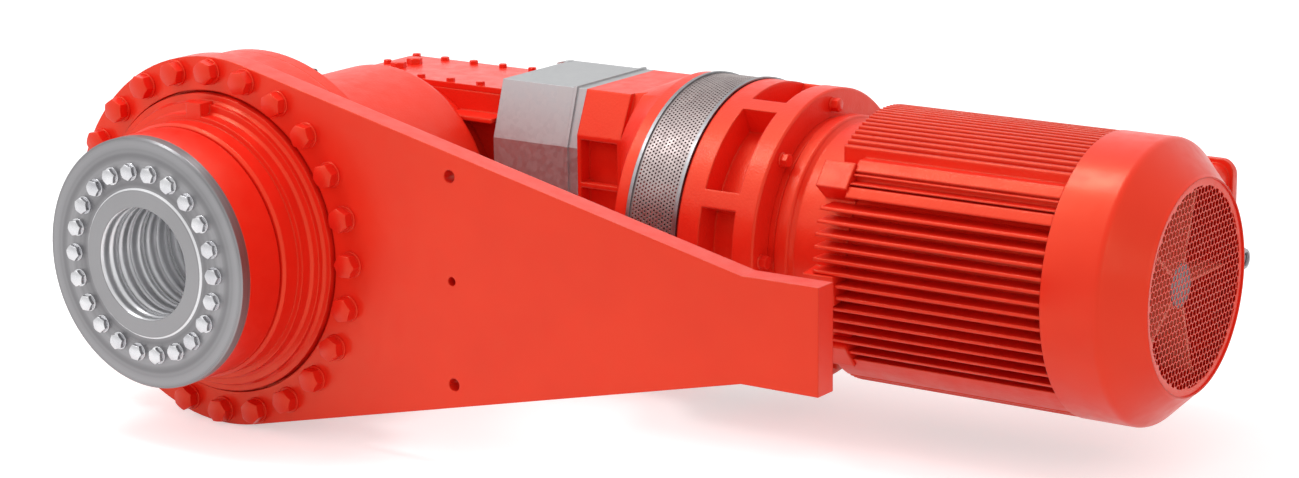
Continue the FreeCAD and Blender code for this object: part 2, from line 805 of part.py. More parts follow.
def planetary_gears():
    module = size("gear_module")
    backlash = size("gear_backlash")
    front, back = size("gear_front"), size("gear_back")
    width = FreeCAD.Vector(0, back - front, 0)
    # The ring's tooth spaces are the teeth of a larger gear, half a pitch round
    teeth = round(size("ring_teeth"))
    tip = size("tip_factor * gear_module")
    root = size("root_factor * gear_module")
    ring_root = size("ring_root_factor * gear_module")
    spaces = spur_points(teeth, module, ring_root, tip, -backlash)
    half_pitch = math.pi / teeth
    spaces = [(r, a + half_pitch) for r, a in spaces]
    ring_front, ring_back = size("ring_front"), size("ring_back")
    blank = y_cylinder(size("ring_radius"), ring_front, ring_back)
    hollow = face_across_y(spaces, ring_front).extrude(
        FreeCAD.Vector(0, ring_back - ring_front, 0))
    keep(shaped("ring_gear", blank.cut(hollow)))
    # Planets, each with a tooth space towards a tooth of the ring
    teeth = round(size("planet_teeth"))
    outline_points = spur_points(teeth, module, tip, root, backlash)
    turn = math.pi / teeth
    planet = face_across_y([(r, a + turn) for r, a in outline_points], front).extrude(width)
    planet = planet.cut(y_cylinder(size("pin_radius + shaft_fit"), front - PAST, back + PAST))
    count = round(size("planet_count"))
    reach = size("centre_distance")
    for number in range(count):
        angle = 2 * math.pi * number / count
        piece = shaped("planet_gear_%d" % (number + 1), planet)
        piece.Placement.Base = FreeCAD.Vector(reach * math.cos(angle), 0,
                                              reach * math.sin(angle))
        keep(piece)
    # Sun gear in one piece with its shaft
    teeth = round(size("sun_teeth"))
    sun = face_across_y(spur_points(teeth, module, tip, root, backlash), front).extrude(width)
    radius = size("sun_shaft_radius")
    shaft = y_cylinder(radius, front, size("rear_cap_back - rear_cap_thick / 2"))
    keep(shaped("sun_shaft", sun.fuse(shaft).removeSplitter()))


def carrier():
    pins = new_body("planet_pins")
    sketch = new_sketch(pins, "XZ_Plane", "pin", "0 - wall_one_front")
    circle_at(sketch, "centre_distance", NOUGHT, "pin_radius")
    pad = pins.newObject("PartDesign::Pad", "pin")
    pad.Profile = sketch
    bind(pad, "Length", "wall_two_back - wall_one_front")
    pad.Reversed = True
    ring = pins.newObject("PartDesign::PolarPattern", "pins")
    ring.Originals = [pad]
    ring.Axis = (sketch, ["N_Axis"])
    ring.Angle = 360
    bind(ring, "Occurrences", "planet_count")
    pins.Tip = ring
    keep(pins)
    # Rear wall, hub and the webs that pass between the planets
    front, back = size("wall_two_front"), size("wall_two_back")
    end = size("bearing_two_back")
    wall = y_cylinder(size("carrier_radius"), front, back)
    hub = y_cylinder(size("carrier_hub_radius"), back, end)
    body = wall.fuse(hub)
    inner, outer = size("carrier_web_inner"), size("carrier_web_outer")
    angle = size("carrier_web_angle")
    count = round(size("planet_count"))
    start = size("wall_one_back")
    for number in range(count):
        middle = 360.0 * (number + 0.5) / count
        web = Part.makeCylinder(outer, front - start, FreeCAD.Vector(0, start, 0),
                                FreeCAD.Vector(0, 1, 0), angle)
        web = web.cut(y_cylinder(inner, start - PAST, front + PAST))
        lean = web.Solids[0].CenterOfMass
        now = math.degrees(math.atan2(lean.z, lean.x))
        web.rotate(FreeCAD.Vector(0, 0, 0), FreeCAD.Vector(0, 1, 0), now - middle)
        body = body.fuse(web)
    reach = size("centre_distance")
    for number in range(count):
        around = 2 * math.pi * number / count
        body = body.cut(y_cylinder(size("pin_radius + shaft_fit"), front - PAST, back + PAST,
                                   reach * math.cos(around), reach * math.sin(around)))
    opening = size("sun_shaft_radius + gear_module")
    body = body.cut(y_cylinder(opening, front - PAST, end + PAST))
    keep(shaped("planet_carrier", body.removeSplitter()))


def bearing(label, inner, height, front, back, line=False):
    """Two rings of a bearing; the rollers and their cage belong to the inner one."""
    split = "%s + %s / 2" % (inner, height)
    outer = "%s + %s" % (inner, height)
    return (turned(label + "_inner", tube(inner + " + shaft_fit", split + " - bearing_split / 2",
                                          front, back, line), line),
            turned(label + "_outer", tube(split + " + bearing_split / 2", outer,
                                          front, back, line), line))


def output_bearings():
    one = bearing("bearing_one", "shaft_radius", "bearing_height",
                  "bearing_one_front", "bearing_one_back")
    two = bearing("bearing_two", "carrier_hub_radius", "bearing_height",
                  "bearing_two_front", "bearing_two_back")
    for side, label in enumerate(("output_bearing_inner_rings", "output_bearing_outer_rings")):
        pair = doc.addObject("Part::Compound", label)
        pair.Links = [one[side], two[side]]
        keep(pair)


def drum():
    seat = "bearing_two_seat + seat_gap"
    inside = "drum_radius - drum_wall"
    keep(turned("drum_housing", [
        ("carrier_radius + carrier_gap", "drum_front"), ("ring_radius", "drum_front"),
        ("ring_radius", "drum_flange_back", "drum_edge"), ("drum_radius", "drum_flange_back"),
        ("drum_radius", "drum_back", "drum_nose_radius", "round"),
        ("drum_neck_radius", "drum_back"), ("drum_neck_radius", "housing_front"),
        ("drum_neck_radius - drum_wall", "housing_front"),
        ("drum_neck_radius - drum_wall", "drum_back - drum_wall"),
        (inside, "drum_back - drum_wall"), (inside, "bearing_two_back + drum_wall"),
        ("carrier_hub_radius + carrier_gap", "bearing_two_back + drum_wall"),
        ("carrier_hub_radius + carrier_gap", "bearing_two_back"), (seat, "bearing_two_back"),
        (seat, "bearing_two_front - carrier_gap / 2"),
        ("carrier_radius + carrier_gap", "bearing_two_front - carrier_gap / 2")]))


def breather():
    body = new_body("breather_plug", ("", "drum_flange_back + breather_place", ""))
    sketch = new_sketch(body, "XY_Plane", "cap", "drum_radius + seat_gap")
    flats(sketch, 4, "breather_size", turn=45)
    pad = body.newObject("PartDesign::Pad", "breather_cap")
    pad.Profile = sketch
    bind(pad, "Length", "breather_height")
    body.Tip = pad
    keep(body)


# Bevel stage


def bevel_directions(teeth, mate, module, backlash):
    """Corners of a bevel gear as (tangent of the cone angle, angle about its axis)."""
    pressure = math.radians(size("pressure_angle"))
    pitch = math.atan2(teeth, mate)
    base = math.asin(math.sin(pitch) * math.cos(pressure))
    reach = module * teeth / (2 * math.sin(pitch))
    cones = [pitch - size("ring_root_factor") * module / reach, pitch,
             pitch + size("tip_factor") * module / reach]

    def roll(cone):
        cone = max(cone, base)
        turn = math.acos(min(1.0, math.cos(cone) / math.cos(base))) / math.sin(base)
        return turn - math.acos(min(1.0, math.tan(base) / math.tan(cone)))

    halves = [math.pi / (2 * teeth) + roll(pitch) - roll(cone) - backlash / (module * teeth)
              for cone in cones]
    corners = []
    for tooth in range(teeth):
        middle = 2 * math.pi * tooth / teeth
        for cone, half in zip(cones, halves):
            corners.append((math.tan(cone), middle - half))
        for cone, half in zip(reversed(cones), reversed(halves)):
            corners.append((math.tan(cone), middle + half))
    return corners


def bevel_solid(directions, inner, outer, point):
    """The flat-faced solid between two planes across the gear's axis."""
    ends = [[point(plane, slope * plane, angle) for slope, angle in directions]
            for plane in (inner, outer)]
    faces = [Part.Face(Part.makePolygon(end + end[:1])) for end in ends]
    small, large = ends
    for i in range(len(small)):
        corners = [small[i - 1], small[i], large[i], large[i - 1], small[i - 1]]
        faces.append(Part.Face(Part.makePolygon(corners)))
    solid = Part.Solid(Part.makeShell(faces))
    solid.fix(1e-4, 1e-4, 1e-3)
    return solid


def bevel_gears():
    line = size("line_distance")
    module, backlash = size("bevel_module"), size("bevel_backlash")
    pinion_teeth, wheel_teeth = round(size("pinion_teeth")), round(size("wheel_teeth"))

    def on_wheel(plane, radius, angle):
        return FreeCAD.Vector(radius * math.cos(angle), line - plane,
                              radius * math.sin(angle))

    def on_pinion(plane, radius, angle):
        return FreeCAD.Vector(plane, line + radius * math.cos(angle),
                              radius * math.sin(angle))

    wheel_teeth_directions = bevel_directions(wheel_teeth, pinion_teeth, module, backlash)
    wheel = bevel_solid(wheel_teeth_directions, size("bevel_inner"), size("pitch_pinion"),
                        on_wheel)
    root = min(slope for slope, angle in wheel_teeth_directions) * size("pitch_pinion")
    disc = y_cylinder(root, size("wheel_back"), size("wheel_back + wheel_backing"))
    bore = y_cylinder(size("sun_shaft_radius + shaft_fit"), size("wheel_back - wheel_backing"),
                      line)
    keep(shaped("bevel_wheel", wheel.fuse(disc).cut(bore).removeSplitter()))
    pinion = bevel_solid(bevel_directions(pinion_teeth, wheel_teeth, module, backlash),
                         size("pinion_inner"), size("pitch_wheel"), on_pinion)
    main = x_cylinder(size("pinion_shaft_radius"), size("pitch_wheel"), size("block_start"))
    thin = x_cylinder(size("fan_side_shaft"), size("block_start"), size("coupling_middle"))
    keep(shaped("pinion_shaft", pinion.fuse(main).fuse(thin).removeSplitter()))


def x_cylinder(radius, start, end, y=0.0, z=0.0):
    return Part.makeCylinder(radius, end - start,
                             FreeCAD.Vector(start, size("line_distance") + y, z),
                             FreeCAD.Vector(1, 0, 0))


def sector(inner, outer, start, end, middle, width):
    """Part of a ring on the motor line, its middle given from -Y round towards +Z."""
    line = size("line_distance")
    piece = Part.makeCylinder(outer, end - start, FreeCAD.Vector(0, 0, 0),
                              FreeCAD.Vector(0, 0, 1), width)
    piece.rotate(FreeCAD.Vector(0, 0, 0), FreeCAD.Vector(0, 0, 1), -width / 2)
    turn = FreeCAD.Placement(FreeCAD.Matrix(0, 0, 1, start, -1, 0, 0, line, 0, -1, 0, 0))
    piece.Placement = turn.multiply(piece.Placement)
    piece.rotate(FreeCAD.Vector(0, line, 0), FreeCAD.Vector(-1, 0, 0), middle)
    if inner > 0:
        piece = piece.cut(x_cylinder(inner, start - PAST, end + PAST))
    return piece


def stage_bearings():
    sun_one = bearing("sun_bearing_one", "sun_shaft_radius", "sun_bearing_height",
                      "sun_bearing_front", "sun_bearing_front + sun_bearing_width")
    sun_two = bearing("sun_bearing_two", "sun_shaft_radius", "sun_bearing_height",
                      "rear_bearing_front", "rear_bearing_front + sun_bearing_width")
    pinion_one = bearing("pinion_bearing_one", "pinion_shaft_radius", "pinion_bearing_height",
                         "pinion_bearing_one", "pinion_bearing_one + pinion_bearing_width",
                         True)
    pinion_two = bearing("pinion_bearing_two", "pinion_shaft_radius", "pinion_bearing_height",
                         "pinion_bearing_two", "pinion_bearing_two + pinion_bearing_width",
                         True)
    for label, pairs in (("sun_bearing", (sun_one, sun_two)),
                         ("pinion_bearing", (pinion_one, pinion_two))):
        for side, name in enumerate(("_inner_rings", "_outer_rings")):
            rings = doc.addObject("Part::Compound", label + name)
            rings.Links = [pair[side] for pair in pairs]
            keep(rings)


def bevel_housing():
    width = "housing_width"
    height = "2 * housing_radius"
    low = "0 - housing_radius"
    outside = joined("housing_outside", [
        rod("housing_round", "housing_radius", width, ("", "housing_front", ""), "Y"),
        block("housing_box", ("housing_reach", width, height), ("", "housing_front", low)),
        block("housing_shoulder_box", ("housing_shoulder", width,
                                       "housing_radius - housing_shoulder_foot"),
              ("0 - housing_shoulder", "housing_front", "housing_shoulder_foot"))])
    inner = "housing_radius - housing_wall"
    deep = "housing_width - 2 * housing_wall"
    front = "housing_front + housing_wall"
    inside = joined("housing_inside", [
        rod("cavity_round", inner, deep, ("", front, ""), "Y"),
        block("cavity_box", ("housing_cavity_reach", deep, "2 * (%s)" % inner),
              ("", front, "0 - (%s)" % inner)),
        block("top_opening", ("top_cover_end - top_cover_start - 4 * top_bolt_inset"
                              " - housing_reach + housing_cavity_reach",
                              "top_cover_width - 4 * top_bolt_inset",
                              "housing_radius"),
              ("top_cover_start + 2 * top_bolt_inset",
               "top_cover_front + 2 * top_bolt_inset", "housing_radius - 2 * housing_wall"))])
    shell = cut("housing_shell", outside, inside)
    hub = "sun_bearing_seat + housing_wall"
    with_hubs = joined("housing_with_hubs", [
        shell,
        rod("front_hub", hub, "sun_bearing_width", ("", "sun_bearing_front", ""), "Y"),
        rod("rear_hub", hub, "housing_back - rear_bearing_front",
            ("", "rear_bearing_front", ""), "Y")])
    seat = "sun_bearing_seat + seat_gap"
    pocket = ("housing_reach - housing_cavity_reach - housing_wall", "housing_pocket_depth",
              "housing_pocket_top - housing_pocket_foot")
    start = "housing_cavity_reach + housing_wall / 2"
    holes = joined("housing_holes", [
        rod("front_bore", seat, "housing_wall + sun_bearing_width",
            ("", "sun_bearing_front", ""), "Y"),
        rod("rear_bore", seat, "housing_back - rear_bearing_front",
            ("", "rear_bearing_front", ""), "Y"),
        rod("neck_hole", "neck_radius + seat_gap", "housing_reach",
            ("housing_cavity_reach", "line_distance", ""), "X"),
        block("upper_pocket", pocket, (start, "housing_front", "housing_pocket_foot")),
        block("lower_pocket", pocket, (start, "housing_front", "0 - housing_pocket_top"))])
    box = cut("housing_cast", with_hubs, holes)
    shelf = ("shell_start - shelf_shell_gap", "drum_neck_length", "shelf_thick")
    shelves = joined("housing_shelves", [
        block("upper_shelf", shelf, ("", "drum_back", "shelf_top - shelf_thick")),
        block("lower_shelf", shelf, ("", "drum_back", "0 - shelf_top"))])
    neck_room = rod("neck_room", "drum_neck_radius + seat_gap", "drum_neck_length",
                    ("", "drum_back", ""), "Y")
    keep(joined("bevel_housing", [box, cut("trimmed_shelves", shelves, neck_room)]))


def housing_covers():
    body = new_body("housing_top_cover", ("", "line_distance", "housing_radius"))
    sketch = new_sketch(body, "XY_Plane", "plate")
    half = "top_cover_width / 2"
    outline(sketch, [("top_cover_start", "0 - " + half, "top_bolt_inset"),
                     ("top_cover_end", "0 - " + half),
                     ("top_cover_end", half),
                     ("top_cover_start", half, "top_bolt_inset")])
    pad = body.newObject("PartDesign::Pad", "cover_plate")
    pad.Profile = sketch
    bind(pad, "Length", "top_cover_thick")
    body.Tip = pad
    keep(body)
    bolts = new_body("top_cover_bolts", ("", "line_distance", ""))
    rows = new_sketch(bolts, "XY_Plane", "rows", "top_of_cover")
    first = "top_cover_start + top_bolt_inset + top_bolt_flats / 2"
    for side in ("", "0 - "):
        flats(rows, 6, "top_bolt_flats", (first, side + "(%s - top_bolt_inset)" % half), 30)
    heads = bolts.newObject("PartDesign::Pad", "row_heads")
    heads.Profile = rows
    bind(heads, "Length", "top_bolt_head")
    line = bolts.newObject("PartDesign::LinearPattern", "row_pattern")
    line.Originals = [heads]
    line.Direction = (rows, ["H_Axis"])
    line.Mode = "Spacing"
    bind(line, "Offset", "top_bolt_pitch")
    bind(line, "Occurrences", "top_bolt_count")
    bolts.Tip = line
    end = new_sketch(bolts, "XY_Plane", "end", "top_of_cover")
    flats(end, 6, "top_bolt_flats", ("top_cover_start + top_bolt_inset", NOUGHT), 30)
    last = bolts.newObject("PartDesign::Pad", "end_head")
    last.Profile = end
    bind(last, "Length", "top_bolt_head")
    bolts.Tip = last
    keep(bolts)
    reach = "sun_shaft_radius + carrier_gap"
    keep(turned("rear_bearing_cap", [
        (NOUGHT, "rear_cap_back - rear_cap_thick / 4"),
        (NOUGHT, "rear_cap_back"),
        ("rear_cap_radius", "rear_cap_back", "flange_edge"), ("rear_cap_radius", "housing_back"),
        (reach, "housing_back"), (reach, "rear_cap_back - rear_cap_thick / 4")]))
    keep(ring_of_heads("rear_cap_bolts", "rear_bolt_circle", "rear_bolt_count",
                       "top_bolt_flats", "top_bolt_head", "rear_cap_back", facing=1))
    plugs = new_body("oil_plugs", ("", "", ""))
    drain = new_sketch(plugs, "XY_Plane", "drain", "0 - housing_radius")
    flats(drain, 6, "plug_flats", (NOUGHT, "line_distance"))
    one = plugs.newObject("PartDesign::Pad", "drain_plug")
    one.Profile = drain
    bind(one, "Length", "plug_height")
    one.Reversed = True
    level = new_sketch(plugs, "XZ_Plane", "level", "0 - housing_back")
    flats(level, 6, "plug_flats", ("plug_spread", "0 - plug_spread / 2"))
    two = plugs.newObject("PartDesign::Pad", "level_plug")
    two.Profile = level
    bind(two, "Length", "plug_height")
    two.Reversed = True
    two_more = new_sketch(plugs, "XY_Plane", "cover_plugs", "top_of_cover")
    for side in ("+", "-"):
        flats(two_more, 6, "cover_plug_flats",
              ("0 - cover_plug_place", "line_distance %s cover_plug_spread" % side))
    upper = plugs.newObject("PartDesign::Pad", "cover_plug_heads")
    upper.Profile = two_more
    bind(upper, "Length", "cover_plug_height")
    plugs.Tip = upper
    keep(plugs)


# Air guide, fan housing, guard and lantern


def section_corners(inset, kind="section"):
    """Outline of the shell or of the fan housing, set in by a wall."""
    side = "section_side - " + inset
    flat = "section_top_half - %s * %s_slant_share" % (inset, kind)
    top = "section_top - " + inset
    quarter = [(side, kind + "_shoulder"), (flat, top)]
    mirror = [("0 - (%s)" % y, z) for y, z in reversed(quarter)]
    lower = [(y, "0 - (%s)" % z) for y, z in reversed(mirror)]
    return quarter + mirror + lower + [(y, "0 - (%s)" % z) for y, z in reversed(quarter)]


def air_guide():
    body = new_body("air_guide_shell", ("shell_start", "line_distance", ""))
    add_tube_pad(body, "sheet", NOUGHT, "shell_sheet", None, "shell_length")
    add_tube_pad(body, "bead", "0 - shell_bead_height", "shell_sheet / 2",
                 "shell_length - shell_bead_place", "shell_bead_width")
    keep(body)


def add_tube_pad(body, name, outset, inset, lift, length):
    sketch = new_sketch(body, "YZ_Plane", name, lift)
    outline(sketch, section_corners("(%s)" % outset))
    outline(sketch, section_corners("(%s)" % inset))
    pad = body.newObject("PartDesign::Pad", body.Label + "_" + name)
    pad.Profile = sketch
    bind(pad, "Length", length)
    body.Tip = pad
    return pad


def block_corners(inset, x):
    line = size("line_distance")
    return [FreeCAD.Vector(x, line + size(y), size(z))
            for y, z in section_corners(inset, "block")]


def block_section(inset, start, end):
    """A length of the fan housing's section, set in by a wall."""
    points = block_corners(inset, start)
    face = Part.Face(Part.makePolygon(points + points[:1]))
    return face.extrude(FreeCAD.Vector(end - start, 0, 0))


def block_flare(inset, radius, start, end):
    """The change from the fan housing's section to its round flange."""
    line = size("line_distance")
    corners = block_corners(inset, start)
    angles = [math.atan2(corner.z, corner.y - line) for corner in corners]

    def rim(angle):
        return FreeCAD.Vector(end, line + radius * math.cos(angle), radius * math.sin(angle))

    arcs = []
    for angle, following in zip(angles, angles[1:] + angles[:1]):
        sweep = (following - angle + math.pi) % (2 * math.pi) - math.pi
        arc = Part.Arc(rim(angle), rim(angle + sweep / 2), rim(following))
        arcs.append(arc.toShape())
    polygon = Part.makePolygon(corners + corners[:1])
    return Part.makeLoft([polygon, Part.Wire(arcs)], True, True)


def block_notch(side, way):
    """A tapered notch behind one slanted facet of the fan housing."""
    line = size("line_distance")
    (side_y, side_z), (top_y, top_z) = section_corners(NOUGHT, "block")[:2]
    low = FreeCAD.Vector(0, side * abs(size(side_y)), way * abs(size(side_z)))
    high = FreeCAD.Vector(0, side * abs(size(top_y)), way * abs(size(top_z)))
    slope = (high - low).normalize()
    out = FreeCAD.Vector(0, side * abs(slope.z), way * abs(slope.y))
    depth = size("notch_depth")
    edge = size("block_end")
    base = FreeCAD.Vector(0, line, 0) - out * depth
    corners = [base + low + FreeCAD.Vector(edge, 0, 0),
               base + high + slope * depth + FreeCAD.Vector(edge + size("notch_foot"), 0, 0),
               base + high + slope * depth + FreeCAD.Vector(edge + size("notch_width"), 0, 0)]
    face = Part.Face(Part.makePolygon(corners + corners[:1]))
    return face.extrude(out * (depth + size("flange_radius") / 2))


def fan_housing():
    start, waist = size("block_start"), size("block_end")
    web, end = size("flange_start"), size("flange_end")
    wall, back = size("block_wall"), size("flare_set_back")
    radius = size("flange_radius")
    body = block_section(NOUGHT, start, waist)
    body = body.fuse(block_flare(NOUGHT, radius, waist, web))
    body = body.fuse(x_cylinder(radius, web, end))
    for side in (-1, 1):
        for way in (-1, 1):
            body = body.cut(block_notch(side, way))
    body = body.cut(block_section("block_wall", start + wall, waist + back))
    body = body.cut(block_flare("block_wall", radius - wall, waist + back, web + back))
    body = body.cut(x_cylinder(radius - wall, web + back, end))
    # The end wall holds the neck's flange between two air openings
    hub = size("neck_flange_radius")
    line = size("line_distance")
    for side in (-1, 1):
        opening = Part.makeBox(wall, 2 * (size("section_top_half") - wall),
                               size("section_top") - hub - 2 * wall,
                               FreeCAD.Vector(start, line - size("section_top_half") + wall,
                                              hub + wall / 2))
        if side < 0:
            opening.rotate(FreeCAD.Vector(0, line, 0), FreeCAD.Vector(1, 0, 0), 180)
        body = body.cut(opening)
    # Pockets in both sides with two cross ribs between them
    margin = size("block_pocket_margin")
    shoulder = size("block_shoulder")
    depth = size("block_pocket_depth")
    side_place = size("section_side")
    rib_low, rib_high = size("block_rib_place - block_rib / 2"), size("block_rib_place + block_rib / 2")
    levels = ((rib_high, shoulder - margin), (-rib_low, rib_low), (margin - shoulder, -rib_high))
    for side in (-1, 1):
        near = line + side * side_place
        deep = near - side * depth
        backing = Part.makeBox(waist - start, wall, 2 * shoulder,
                               FreeCAD.Vector(start, min(deep, deep - side * wall), -shoulder))
        body = body.fuse(backing)
        for low, high in levels:
            pocket = Part.makeBox(waist - start - 2 * margin, depth, high - low,
                                  FreeCAD.Vector(start + margin, min(near, deep), low))
            body = body.cut(pocket)
    bore = x_cylinder(size("fan_side_shaft + carrier_gap"), start - PAST, end)
    keep(shaped("fan_housing", body.cut(bore).removeSplitter()))


def neck():
    flange = "neck_flange_radius"
    stop = "pinion_shaft_radius + carrier_gap"
    seat = "neck_bore + seat_gap"
    keep(turned("input_neck", [
        ("pinion_bearing_one", seat), ("pinion_bearing_one", "neck_nose_radius"),
        ("housing_cavity_reach", "neck_nose_radius"), ("housing_cavity_reach", "neck_radius"),
        ("housing_reach", "neck_radius"), ("housing_reach", flange, "flange_edge"),
        ("housing_reach + housing_wall", flange, "flange_edge"),
        ("housing_reach + housing_wall", "neck_radius", "drum_edge"),
        ("block_start - block_wall", "neck_radius", "drum_edge"),
        ("block_start - block_wall", flange, "flange_edge"), ("block_start", flange),
        ("block_start", seat), ("pinion_bearing_two", seat), ("pinion_bearing_two", stop),
        ("pinion_bearing_one + pinion_bearing_width", stop),
        ("pinion_bearing_one + pinion_bearing_width", seat)], line=True))


def guard():
    radius = "flange_radius"
    keep(turned("perforated_guard", tube(radius + " - guard_sheet", radius,
                                         "guard_start", "guard_end", True), True))
    body = new_body("guard_edge_rings", ("", "line_distance", ""))
    outer = radius + " + trim_height"
    inner = radius + " + seat_gap"
    add_turn(body, "left", tube(inner, outer, "guard_start", "guard_start + trim_width", True),
             True)
    add_turn(body, "right", tube(inner, outer, "guard_end - trim_width", "guard_end", True),
             True)
    keep(body)


def lantern():
    start, middle = size("guard_start"), size("guard_end")
    outer, wall = size("flange_radius"), size("lantern_wall")
    body = new_body("lantern_turned", ("", "line_distance", ""))
    rim = "flange_radius"
    below = "flange_radius - guard_sheet - running_gap"
    bore = "flange_radius - lantern_wall"
    sleeve = "window_floor_radius - window_floor"
    add_turn(body, "casting", [
        ("guard_start", bore), ("guard_start", below), ("guard_end", below),
        ("guard_end", rim, "flange_edge"), ("lantern_end", rim, "flange_edge"),
        ("lantern_end", "motor_bearing_seat + lantern_plate"),
        ("lantern_end - lantern_plate", "motor_bearing_seat + lantern_plate"),
        ("lantern_end - lantern_plate", sleeve), ("guard_end", sleeve),
        ("guard_end", bore)], True)
    doc.recompute()
    count = round(size("window_count"))
    width = 360.0 / count - size("window_bar_angle")
    shape = body.Shape
    # Openings under the guard, and windows with a floor beside it
    spans = ((start + wall / 2, middle - wall / 2, outer - 2 * wall),
             (middle + size("window_start"), middle + size("window_end"),
              size("window_floor_radius")))
    for low, high, floor in spans:
        for number in range(count):
            angle = 360.0 * number / count
            shape = shape.cut(sector(floor, outer + wall, low, high, angle, width))
    keep(shaped("coupling_lantern", shape))
    keep(turned("adapter_ring", tube("motor_bearing_seat + lantern_plate",
                                     "lantern_neck_radius", "lantern_end",
                                     "motor_flange_start", True), True))
    keep(ring_of_heads("lantern_bolts", "lantern_bolt_circle", "lantern_bolt_count",
                       "lantern_bolt_flats", "lantern_bolt_head", "lantern_end", True, 1))


def radial_fan(label, shaft, hub, reach, plate, start, width, count, thick, hub_first):
    """A hub and back plate with flat radial blades on the motor line."""
    end = start + width
    body = x_cylinder(hub, start, end)
    disc = x_cylinder(reach, start, start + plate) if hub_first else x_cylinder(
        hub + (reach - hub) / 3, start, start + plate)
    body = body.fuse(disc)
    line = size("line_distance")
    for number in range(count):
        blade = Part.makeBox(width, reach - hub / 2, thick,
                             FreeCAD.Vector(start, line + hub / 2, -thick / 2))
        blade.rotate(FreeCAD.Vector(0, line, 0), FreeCAD.Vector(1, 0, 0),
                     360.0 * number / count)
        body = body.fuse(blade)
    body = body.cut(x_cylinder(shaft, start - PAST, end + PAST))
    keep(shaped(label, body.removeSplitter()))


def fans():
    width = size("fan_blade_width")
    radial_fan("cooling_fan", size("fan_side_shaft + shaft_fit"), size("fan_hub_radius"),
               size("fan_radius"), size("fan_plate"), size("fan_centre") - width / 2, width,
               round(size("fan_blade_count")), size("fan_blade_thick"), True)
    radial_fan("motor_fan", size("motor_shaft_radius + shaft_fit"),
               size("motor_fan_hub_radius"), size("motor_fan_radius"),
               size("motor_fan_disc"), size("motor_fan_front"),
               size("motor_fan_blade_width"), round(size("motor_fan_blade_count")),
               size("motor_fan_blade_thick"), False)


def coupling():
    outer = size("coupling_radius")
    count = round(size("claw_count"))
    step = 360.0 / count
    width = size("claw_angle")
    first, middle = size("coupling_start"), size("coupling_middle")
    second = size("coupling_second")
    inner = outer / 2
    play = size("running_gap")
    halves = (("coupling_half_gear_side", first, middle, middle, second - play,
               "fan_side_shaft", 0.0),
              ("coupling_half_motor_side", second, second + size("coupling_half"),
               middle + play, second, "motor_shaft_radius", step / 2))
    for label, start, end, claw_start, claw_end, shaft, turn in halves:
        body = x_cylinder(outer, start, end)
        for number in range(count):
            body = body.fuse(sector(inner, outer, claw_start, claw_end,
                                    turn + step * number, width))
        body = body.cut(x_cylinder(size(shaft + " + shaft_fit"), first - PAST,
                                   second + size("coupling_half") + PAST))
        keep(shaped(label, body.removeSplitter()))
    spider = x_cylinder(inner - play, middle + play, second - play)
    spider = spider.cut(x_cylinder(inner / 2, middle, second))
    leg = step / 2 - width - math.degrees(4 * play / inner)
    for number in range(2 * count):
        spider = spider.fuse(sector(inner / 1.5, outer - play, middle + play, second - play,
                                    step / 4 + step / 2 * number, leg))
    keep(shaped("coupling_spider", spider.removeSplitter()))


# Motor


def shield_lugs(label, spare):
    """Three blocks on each side of the drive shield, larger all round by a spare."""
    blocks = []
    for number, turn in enumerate(("0 - lug_tilt", "lug_angle", "0 - lug_angle",
                                   "180 + lug_tilt", "180 - lug_angle", "180 + lug_angle")):
        reach = "lug_reach - shield_neck_radius + shield_wall + " + spare
        lug = block("%s_%d" % (label, number),
                    ("shield_end - lug_start + 2 * " + spare, reach, "lug_side + 2 * " + spare),
                    None)
        lug.Placement.Rotation = FreeCAD.Rotation(FreeCAD.Vector(1, 0, 0), 0)
        bind(lug, "Placement.Rotation.Angle", "0 - (%s)" % turn)
        degrees = "((%s) * 1 deg)" % turn
        far = "(lug_reach + %s)" % spare
        half = "(lug_side / 2 + %s)" % spare
        place(lug, ("lug_start - " + spare,
                    "line_distance - %s * cos(%s) - %s * sin(%s)" % (far, degrees, half, degrees),
                    "%s * sin(%s) - %s * cos(%s)" % (far, degrees, half, degrees)))
        blocks.append(lug)
    return blocks


def motor_shields():
    body = turned("drive_shield_turned", [
        ("motor_flange_start", "motor_shaft_radius + carrier_gap"),
        ("motor_flange_start", "motor_flange_radius", "flange_edge"),
        ("motor_flange_end", "motor_flange_radius", "flange_edge"),
        ("motor_flange_end", "shield_neck_radius", "carrier_gap"),
        ("shield_end", "shield_neck_radius"), ("shield_end", "frame_bore"),
        ("shield_bearing + 2 * motor_bearing_width", "frame_bore"),
        ("shield_bearing + motor_bearing_width", "motor_bearing_seat + seat_gap"),
        ("shield_bearing", "motor_bearing_seat + seat_gap"),
        ("shield_bearing", "motor_shaft_radius + carrier_gap")], line=True)
    keep(joined("motor_drive_shield", [body] + shield_lugs("shield_lug", NOUGHT)))
    keep(turned("motor_rear_shield", [
        ("rear_shield_bearing", "motor_bearing_seat + seat_gap"),
        ("rear_shield_bearing", "motor_bearing_seat + shield_wall"),
        ("frame_end", "motor_bearing_seat + shield_wall"), ("frame_end", "frame_tube_radius"),
        ("frame_end + shield_wall", "frame_tube_radius"),
        ("frame_end + shield_wall", "motor_shaft_radius + carrier_gap"),
        ("frame_end", "motor_shaft_radius + carrier_gap"),
        ("frame_end", "motor_bearing_seat + seat_gap")], line=True))


